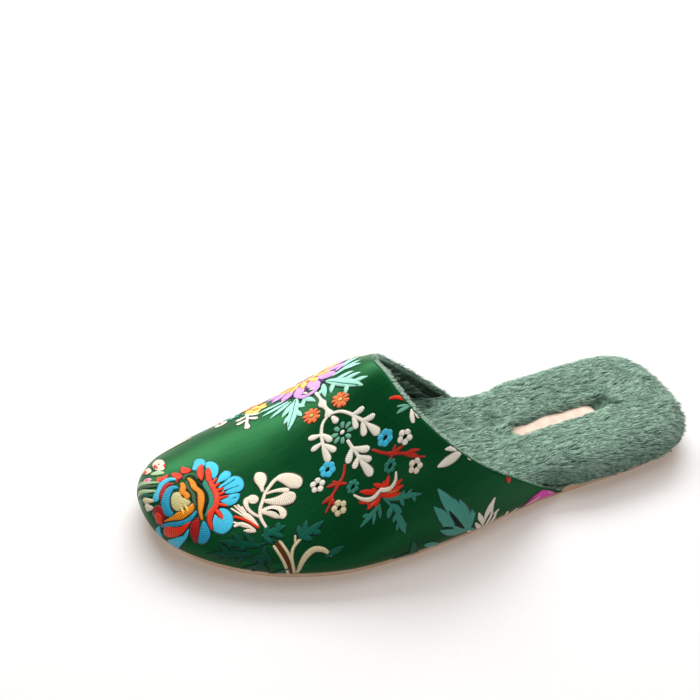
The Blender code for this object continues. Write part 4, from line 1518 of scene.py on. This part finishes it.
# %% Sew the red twigs
twigs = [
    ("rust", (174, 27.6, 0.8), (171.4, 31, 1.0), (169, 33.6, 1.1), (167, 35.3, 1.8),
     (164.4, 37.2, 1.0), (162, 39.2, 1.4), (160.4, 41, 1.6), (158, 42.8, 1.0), (154, 44.2, 0.5)),
    *leaves("rust", ((167.4, 35.8), (164.8, 32.8), 1.3), ((167.4, 35.4), (162, 35.4), 1.5),
            ((167, 34.8), (168.6, 37), 1.1), ((162.6, 39), (155.6, 40.4), 1.7),
            ((161.6, 40), (157.4, 42), 1.3)),
    ("rust", (186, 25.2, 0.9), (187.4, 28, 1.1), (189.4, 30.2, 1.2), (191.6, 31.4, 1.9),
     (194, 33, 1.0), (196.6, 35, 1.6), (198.2, 37.2, 1.1), (201, 39.4, 0.5)),
    *leaves("rust", ((190.8, 31.2), (196.6, 29.3), 1.5), ((191.2, 31), (193.6, 28.4), 1.1),
            ((191.4, 31), (188.4, 33.4), 1.3), ((195.2, 34.2), (201, 35), 1.7),
            ((196, 34.8), (196.8, 38.4), 1.3)),
]
sew("red_twigs", twigs)

# %% Sew the carnation and its leaves
carnation = [
    stem("red under", 3.0, (169.6, 48.2), (172.4, 48), (175.6, 46.6), (177.6, 46.6), (181, 47.2),
         (183.6, 46.2)),
    *leaves("red", ((174, 46.6), (171.2, 41.8), 1.9), ((175, 46), (174, 42.6), 1.6),
            ((174, 46), (178.4, 41), 1.9), ((177.8, 45.4), (179.4, 42.2), 1.3),
            ((178, 45.4), (184.8, 39.9), 2.1), ((171, 48), (166.4, 47.6), 1.6),
            ((173.4, 48.4), (166.6, 50.4), 1.9), ((177, 46.6), (168.4, 52.4), 2.3, -0.6),
            ((177, 46.8), (181, 50), 2.2), ((178.6, 47.4), (184.4, 48.6), 2.1),
            ((180.6, 47.2), (186.6, 43.6), 1.8)),
    *leaves("coral over", ((174, 48), (169.2, 50.6), 0.8), ((179.6, 47.8), (183, 48.4), 0.7)),
    ("cream over", (168, 42.8, 0.7), (169.5, 46.2, 1.6), (171.9, 47.3, 1.9), (174.6, 46.4, 1.8),
     (176.5, 45.1, 1.7), (178.5, 45.9, 1.8), (181.5, 45.8, 1.8), (184.7, 43.5, 1.3),
     (187.6, 39.4, 0.6)),
    stem("teal", 1.2, (176.2, 48.8), (175, 51.4), (173.4, 55.4), (171.6, 59)),
    *frond("teal", 2.3, (175.4, 50.2), (159.4, 59.6), (166.6, 52.8), (163.4, 54.6), (168.4, 58.4),
           (163, 60.6)),
    *frond("teal", 3.2, (172.4, 58), (169.8, 70.6), (174.8, 61.4), (174, 66), (168.6, 67.6)),
    *leaves("teal", ((174, 54.4), (176.6, 58.2), 3.0), ((173.8, 53.6), (170, 60.4), 2.6)),
    *frond("teal", 2.3, (178, 50.4), (189.2, 53.4), (187, 49.8), (183.6, 56.2), (179.8, 56)),
]
sew("carnation", carnation)

# %% Sew the sprig at the collar
collar_sprig = [
    ("red", (152.4, 19.2, 0.9), (154.6, 16.4, 1.8), (157.2, 14.6, 1.9), (160.4, 13.4, 0.7)),
    *leaves("jade", ((153.8, 20), (158.8, 18.6), 1.2), ((153.6, 20.4), (160, 21.4), 1.6)),
    *paddles("white", ((151.4, 21.4), (151.6, 27), 1.8, -0.4),
            ((152.2, 21), (154.8, 28.4), 2.0, -0.6)),
    leaf("jade", (153, 19.8), (155.4, 20), 0.9),
]
sew("collar_sprig", collar_sprig)

# %% Sew the lower side
lower_side = [
    ("magenta", (91.8, 79.6), (96, 80.8), (101.4, 83.2), (104.6, 86.4), (98, 87.4), (90, 87.2),
     (81, 87.4), (81.4, 85), (84.4, 82.8), (87.8, 80.9)),
    *leaves("pink over", ((102.6, 85.6), (94, 83.4), 2.4), ((86, 85.4), (89.6, 81.8), 1.8)),
    leaf("red", (114.2, 63.2), (114.4, 68.4), 2.8),
    *leaves("white", ((136.6, 45.4), (144.4, 43.6), 2.4, -0.4),
            ((136.2, 46), (149.8, 50.4), 4.2, 0.5)),
    paddle("white", (135.8, 46), (132.6, 51.4), 2.2),
    # a broad leaf, its lobes and its open middle
    stem("lagoon", 2.2, (131.8, 91.4), (134.4, 88.2), (137.6, 85.6)),
    *leaves("lagoon", ((139, 84.6), (151.6, 60), 6.6), ((137, 86), (141.6, 68.4), 5.6),
            ((136.8, 86.4), (135.3, 75.6), 3.4), ((137.4, 85), (133.9, 77.4), 2.4),
            ((141, 82), (144.2, 67), 3.8), ((143, 78), (148, 63.6), 3.8),
            ((145.4, 81.4), (154.8, 67.8), 4.8), ((146.6, 81), (153.6, 72.4), 3.6),
            ((146.2, 82), (152, 76.4), 3.2), ((136.8, 86.8), (152.6, 80.9), 4.2, 1.2)),
    stem("lagoon", 1.5, (137.6, 86.2), (143, 83.4), (147, 80.4)),
    ("shadow over", (139.6, 84.8, 0.9), (141.8, 81.8, 1.7), (143.8, 78.6, 1.7), (145.8, 75.2, 1.4),
     (147.6, 72, 0.5)),
    ("shadow over", (145.6, 82.2, 0.5), (148, 81, 1.0), (150.4, 80, 0.6)),
    # a pale leaf with open veins
    ("white", (126.4, 90.8, 4.4), (126.2, 85.5, 5.8), (125.8, 80.8, 5.6), (124.6, 77, 3.4),
     (122.4, 73.2, 0.5)),
    ("white", (124.4, 90.8, 4.6), (122.9, 86.4, 3.4), (122.2, 83.2, 2.5), (119.8, 80.8, 0.5)),
    ("white", (127.9, 88.6, 1.1), (129.3, 84.8, 2.5), (130.8, 81.8, 2.9), (131.8, 78.6, 0.5)),
    ("white", (128.8, 91.2, 2.2), (130.6, 88.4, 2.7), (132.2, 86, 2.1), (133.3, 84, 0.5)),
    ("shadow over", (124.9, 80.4, 0.5), (126, 82.8, 1.2), (127.2, 85.4, 1.1), (127.8, 88.4, 0.7)),
    ("shadow over", (122.7, 83, 0.4), (124.2, 85.6, 0.9), (125.6, 88.2, 0.5)),
    leaf("cream", (133.4, 90.4), (137.4, 87.8), 1.8), leaf("lagoon", (106, 90.6), (101.4, 87.8), 2.2),
    *leaves("cream", ((111.6, 91), (107.8, 85.6), 2.6), ((113.8, 91), (114.2, 84.8), 2.2)),
    leaf("lagoon", (152, 91), (160.6, 85.2), 3.6),
    *leaves("pine", ((163, 90), (176, 80.6), 4.6), ((166.2, 88), (166.4, 77.6), 3.6),
            ((170, 85.6), (180.8, 86), 3.4)),
]
sew("lower_side", lower_side)

# %% [markdown]
# ## The crown flower and the inner side
#
# The crown flower lies where the crest meets the inner side: a red heart, a cream ring, and
# rings of gold, lilac and purple petals, with mint leaves spreading from under it. Petals are
# placed by their turn around the heart, so each ring is one short loop.

# %% Sew the crown flower
CROWN = (174.4, -49.6)


def around(thread, turn, inner, outer, width, bow=0.0):
    """A petal that points away from the heart of the crown flower."""
    a = math.radians(turn)
    return leaf(thread, (CROWN[0] + inner * math.cos(a), CROWN[1] + inner * math.sin(a)),
                (CROWN[0] + outer * math.cos(a), CROWN[1] + outer * math.sin(a)), width, bow)


crown = []
for turn, outer in ((212, 18), (234, 20), (252, 20.5), (272, 21), (292, 20.5), (314, 19.5),
                    (336, 19), (196, 17)):
    crown.append(around("purple", turn, 8, outer, 7.6))
for turn, outer, width in ((8, 20.5, 6.6), (26, 22, 6.8), (44, 24, 6.6), (62, 25.6, 6.6),
                           (82, 26.6, 6.8), (101, 26.4, 6.8), (118, 24.8, 6.6), (137, 21.6, 6.4),
                           (158, 19, 6.6), (178, 17.6, 6.6)):
    crown.append(around("lilac", turn, 9, outer, width))
    crown.append(around("purple over", turn + 9, 13, outer - 1.6, 0.8))
for k in range(17):
    turn = 360 * k / 17 + 4
    reach = 15.4 + 3.2 * math.sin(math.radians(turn - 20))
    crown.append(around("gold over", turn, 6, reach, 3.6))
for k in range(17):
    turn = 360 * k / 17 + 15
    crown.append(around("orange over over", turn, 6, 12.4, 1.4))
crown += [ring("cream over over", *CROWN, 6.6, 16), ring("crimson over over over", *CROWN, 4.4, 12)]
for k in range(6):
    crown.append(around("gold over over over over", 60 * k, 1.2, 4.4, 1.0))
crown += [
    ("lilac over", (176.6, -25.6, 2.6), (180, -22.6, 3.4), (184.4, -24.2, 3), (185.4, -27.6, 2)),
    leaf("lilac over", (168, -26.4), (163.4, -28.4), 3.2),
    *leaves("cream over", ((180.6, -27.4), (178, -23.8), 1.6), ((183, -28.4), (182.4, -25), 1.4)),
]
sew("crown_flower", crown)

# %% Sew the mint leaves
mint = [
    *leaves("mint", ((173.4, -24.6), (166.2, -1), 4.6, -0.5), ((172.4, -18.6), (176.4, -12), 2.4),
            ((171.2, -15), (163.4, -9.4), 3.0), ((172.6, -20), (164.6, -14.4), 3.0),
            ((169.6, -9.6), (172.8, -4.4), 2.2), ((169.6, -8.8), (162.8, -3.6), 2.4),
            ((170.4, -24.6), (158.4, -20.6), 3.4), ((166.6, -26.4), (155.6, -27.4), 2.8),
            ((165.8, -22.8), (160.2, -16.6), 2.6), ((165, -27.6), (156.6, -32.4), 2.4),
            ((175.4, -23.6), (179, -12.4), 2.6), ((176.4, -20.4), (181.2, -16.6), 1.8),
            ((185.4, -26.8), (182.8, -14.6), 2.8), ((185, -23), (187.6, -17.4), 2.0),
            ((186.8, -27.6), (198.6, -8.6), 4.6, 0.4), ((189.4, -23.4), (187.2, -16.6), 2.6),
            ((191.6, -20), (190.6, -12), 2.6), ((193, -18.6), (198.4, -14.4), 2.4),
            ((188.6, -26.2), (197, -19.8), 3.0), ((189, -28.4), (200.8, -24.8), 3.0),
            ((189.6, -30.2), (202.6, -30.6), 2.8), ((190.6, -33.4), (202.6, -36), 2.6)),
    stem("teal over", 0.7, (173.2, -23), (170.6, -12), (167.2, -3)),
    stem("teal over", 0.7, (187.4, -26.4), (192, -18.6), (197.6, -10.4)),
    # ends of other sprigs beside the flower
    ("gold", (153.6, -33.6, 1.2), (157.6, -36.6, 3), (162.4, -41.4, 2.6)),
    ("gold", (153.4, -38, 1.2), (157, -41.4, 2.6), (160.4, -45.6, 1.6)),
    leaf("brown over", (155.4, -35.4), (160.6, -40.2), 0.8),
]
sew("mint_leaves", mint)

# %% Sew the inner side
inner = blossom("gold", 201, -43, 5.6, 6, 4.2, 15) + [ring("orange over", 201, -43, 1.7)]
inner += blossom("purple", 214.4, -59, 4.6, 6, 3.2, 0) + [ring("gold over", 214.4, -59, 1.3)]
inner += blossom("teal", 211, -48.5, 4.8, 7, 3.0, 8) + [ring("cream over", 211, -48.5, 1.3)]
inner += blossom("orange", 199.5, -53.6, 6.4, 9, 3.6, 5) + [ring("crimson over", 199.5, -53.6, 2.3)]
inner += [
    stem("white", 1.4, (205.6, -44), (207, -38), (210.4, -30.4)),
    *paddles("white", ((206.4, -41), (202.2, -35.4), 2.4), ((206.6, -40), (212.4, -39), 2.6),
            ((207.2, -37), (204.4, -31.2), 2.4), ((207.6, -36), (213.6, -34.6), 2.6),
            ((209.4, -32.4), (211.4, -26.2), 2.8)),
    ("white", (214.6, -46.6, 3.2), (218, -44.6, 5), (221.2, -42.6, 3)), ring("shadow over", 218, -44.6, 0.9),
    # a red twig with its side shoots
    stem("red", 1.3, (196.6, -57.6), (202, -60.6), (208, -60), (212.6, -57.2), (216, -53),
         (217.4, -47.4)),
    stem("red", 1.1, (207.6, -60), (211.4, -63.4)), stem("red", 1.1, (214.8, -54.8), (219.2, -54)),
    *leaves("red", ((215, -58), (223, -60.6), 3), ((203, -60.6), (199, -66), 2)),
]
inner += blossom("red", 229.4, -60, 7.6, 7, 5.2, 10) + [ring("cream over", 229.4, -60, 3.4),
                                                          ring("crimson over over", 229.4, -60, 1.4)]
inner += [
    stem("ivory", 1.2, (224, -64.6), (218.6, -71.6), (213.4, -80)),
    stem("teal", 1.3, (222, -64.4), (214, -70.6), (205.6, -77.6)),
    stem("ivory", 1.0, (220.6, -62.4), (212.6, -66.4), (203.6, -69.4)),
    # long leaves that meet near the toe
    ("cream", (262, -36, 1), (252.6, -45.4, 3.4), (243.6, -53.2, 4), (235, -60, 2.4)),
    stem("teal", 1.5, (262, -34.4), (250.6, -42.8), (240, -50.4), (229.6, -57)),
    ("white", (261.4, -32.6, 1), (251.6, -38.4, 2.8), (241.6, -43.4, 3.2), (231.6, -48, 1.6)),
    ("cream", (260.8, -30.6, 1), (251, -34.8, 2.2), (242.4, -38.6, 2.6), (233.4, -41.6, 1.2)),
    stem("white", 1.3, (249, -40.6), (241, -46.8), (231.8, -52.6)),
    leaf("red", (259.6, -38), (253.6, -48.6), 3.8), leaf("cream over", (258.6, -40.4), (255.6, -45.6), 1.3),
    leaf("cream", (262.6, -36.6), (259.6, -46), 2.6),
]
sew("inner_flowers", inner)

# %% Sew the inner sprigs
sprigs = [
    ring("cream", 163, -76.8, 5.2, 12), ring("teal over", 163, -76.8, 2.8, 10),
    stem("cream", 2.2, (164.4, -73.4), (166.8, -67.4)),
    stem("ivory", 1.3, (172.6, -92.6), (175.8, -83.2), (176.8, -76), (176.8, -66.6)),
    *leaves("ivory", ((174, -88), (164.6, -90.4), 3), ((174.6, -84.6), (165, -85.4), 3),
            ((174.6, -87.4), (180.4, -91.4), 3), ((176, -83), (184.4, -85), 3),
            ((176.6, -78.4), (179.8, -79.8), 2.4), ((176.8, -73.6), (178.8, -74.4), 2.2)),
    ("red", (173.2, -71, 1.4), (173.4, -75.4, 3.6), (173.6, -80, 1.2)),
    stem("brown", 1.2, (181.2, -76), (181.4, -62.2)),
    ("cream", (182.4, -83, 1), (184.8, -74, 2.8), (183.4, -61.4, 1)),
    ("pine", (182.8, -97.6, 1), (187.6, -84.4, 3.2), (187.2, -69.4, 2.8), (184.4, -59.6, 1)),
    ("cream", (188.6, -65.6, 1), (190.6, -72.4, 3.4), (195.4, -75.2, 3.4), (201, -73.6, 1.4)),
    ("cream", (187.8, -54, 1), (189.2, -61.4, 3), (194, -66.2, 3.2), (201, -66.2, 1.2)),
    ("teal", (190.6, -51, 1), (193, -57.6, 3.2), (202, -59.6, 1.2)),
    # the sprig towards the collar
    stem("ivory", 1.3, (141.6, -87), (147.8, -76.6), (154.6, -70.8), (159.4, -65)),
    stem("brown", 1.2, (144.6, -74.2), (154.4, -61.6)), stem("cream", 1.2, (138.4, -78), (154.4, -60)),
    ("red", (152.2, -77, 1.4), (155.6, -72.8, 3), (158.6, -69, 1.2)),
    *leaves("ivory", ((141.8, -86.4), (136, -82.6), 3), ((142.6, -85), (150, -86.4), 3),
            ((145.4, -80.4), (140.6, -75.8), 2.4), ((149.6, -75.4), (149.4, -81.4), 2.2)),
    # hooks that rise from the sole
    ("cream", (125.4, -97, 1), (127.4, -92.4, 2.4), (131, -92.8, 2.6), (131.6, -96, 1.6)),
    ("cream", (147, -98, 1), (148.8, -93.6, 2.4), (152, -93.6, 2.6), (152.6, -97, 1.4)),
    ("cream", (155.6, -99, 1), (157.8, -95, 2.4), (161, -96, 2.4), (161.4, -99, 1.2)),
]
sprigs += blossom("blue", 140.9, -91.8, 6.2, 4, 2.6, 0) + blossom("magenta", 140.9, -91.8, 6, 4, 2.6, 45)
sprigs += blossom("blue", 168.5, -97, 6.2, 4, 2.6, 0) + blossom("magenta", 168.5, -97, 6, 4, 2.6, 45)
sew("inner_sprigs", sprigs)
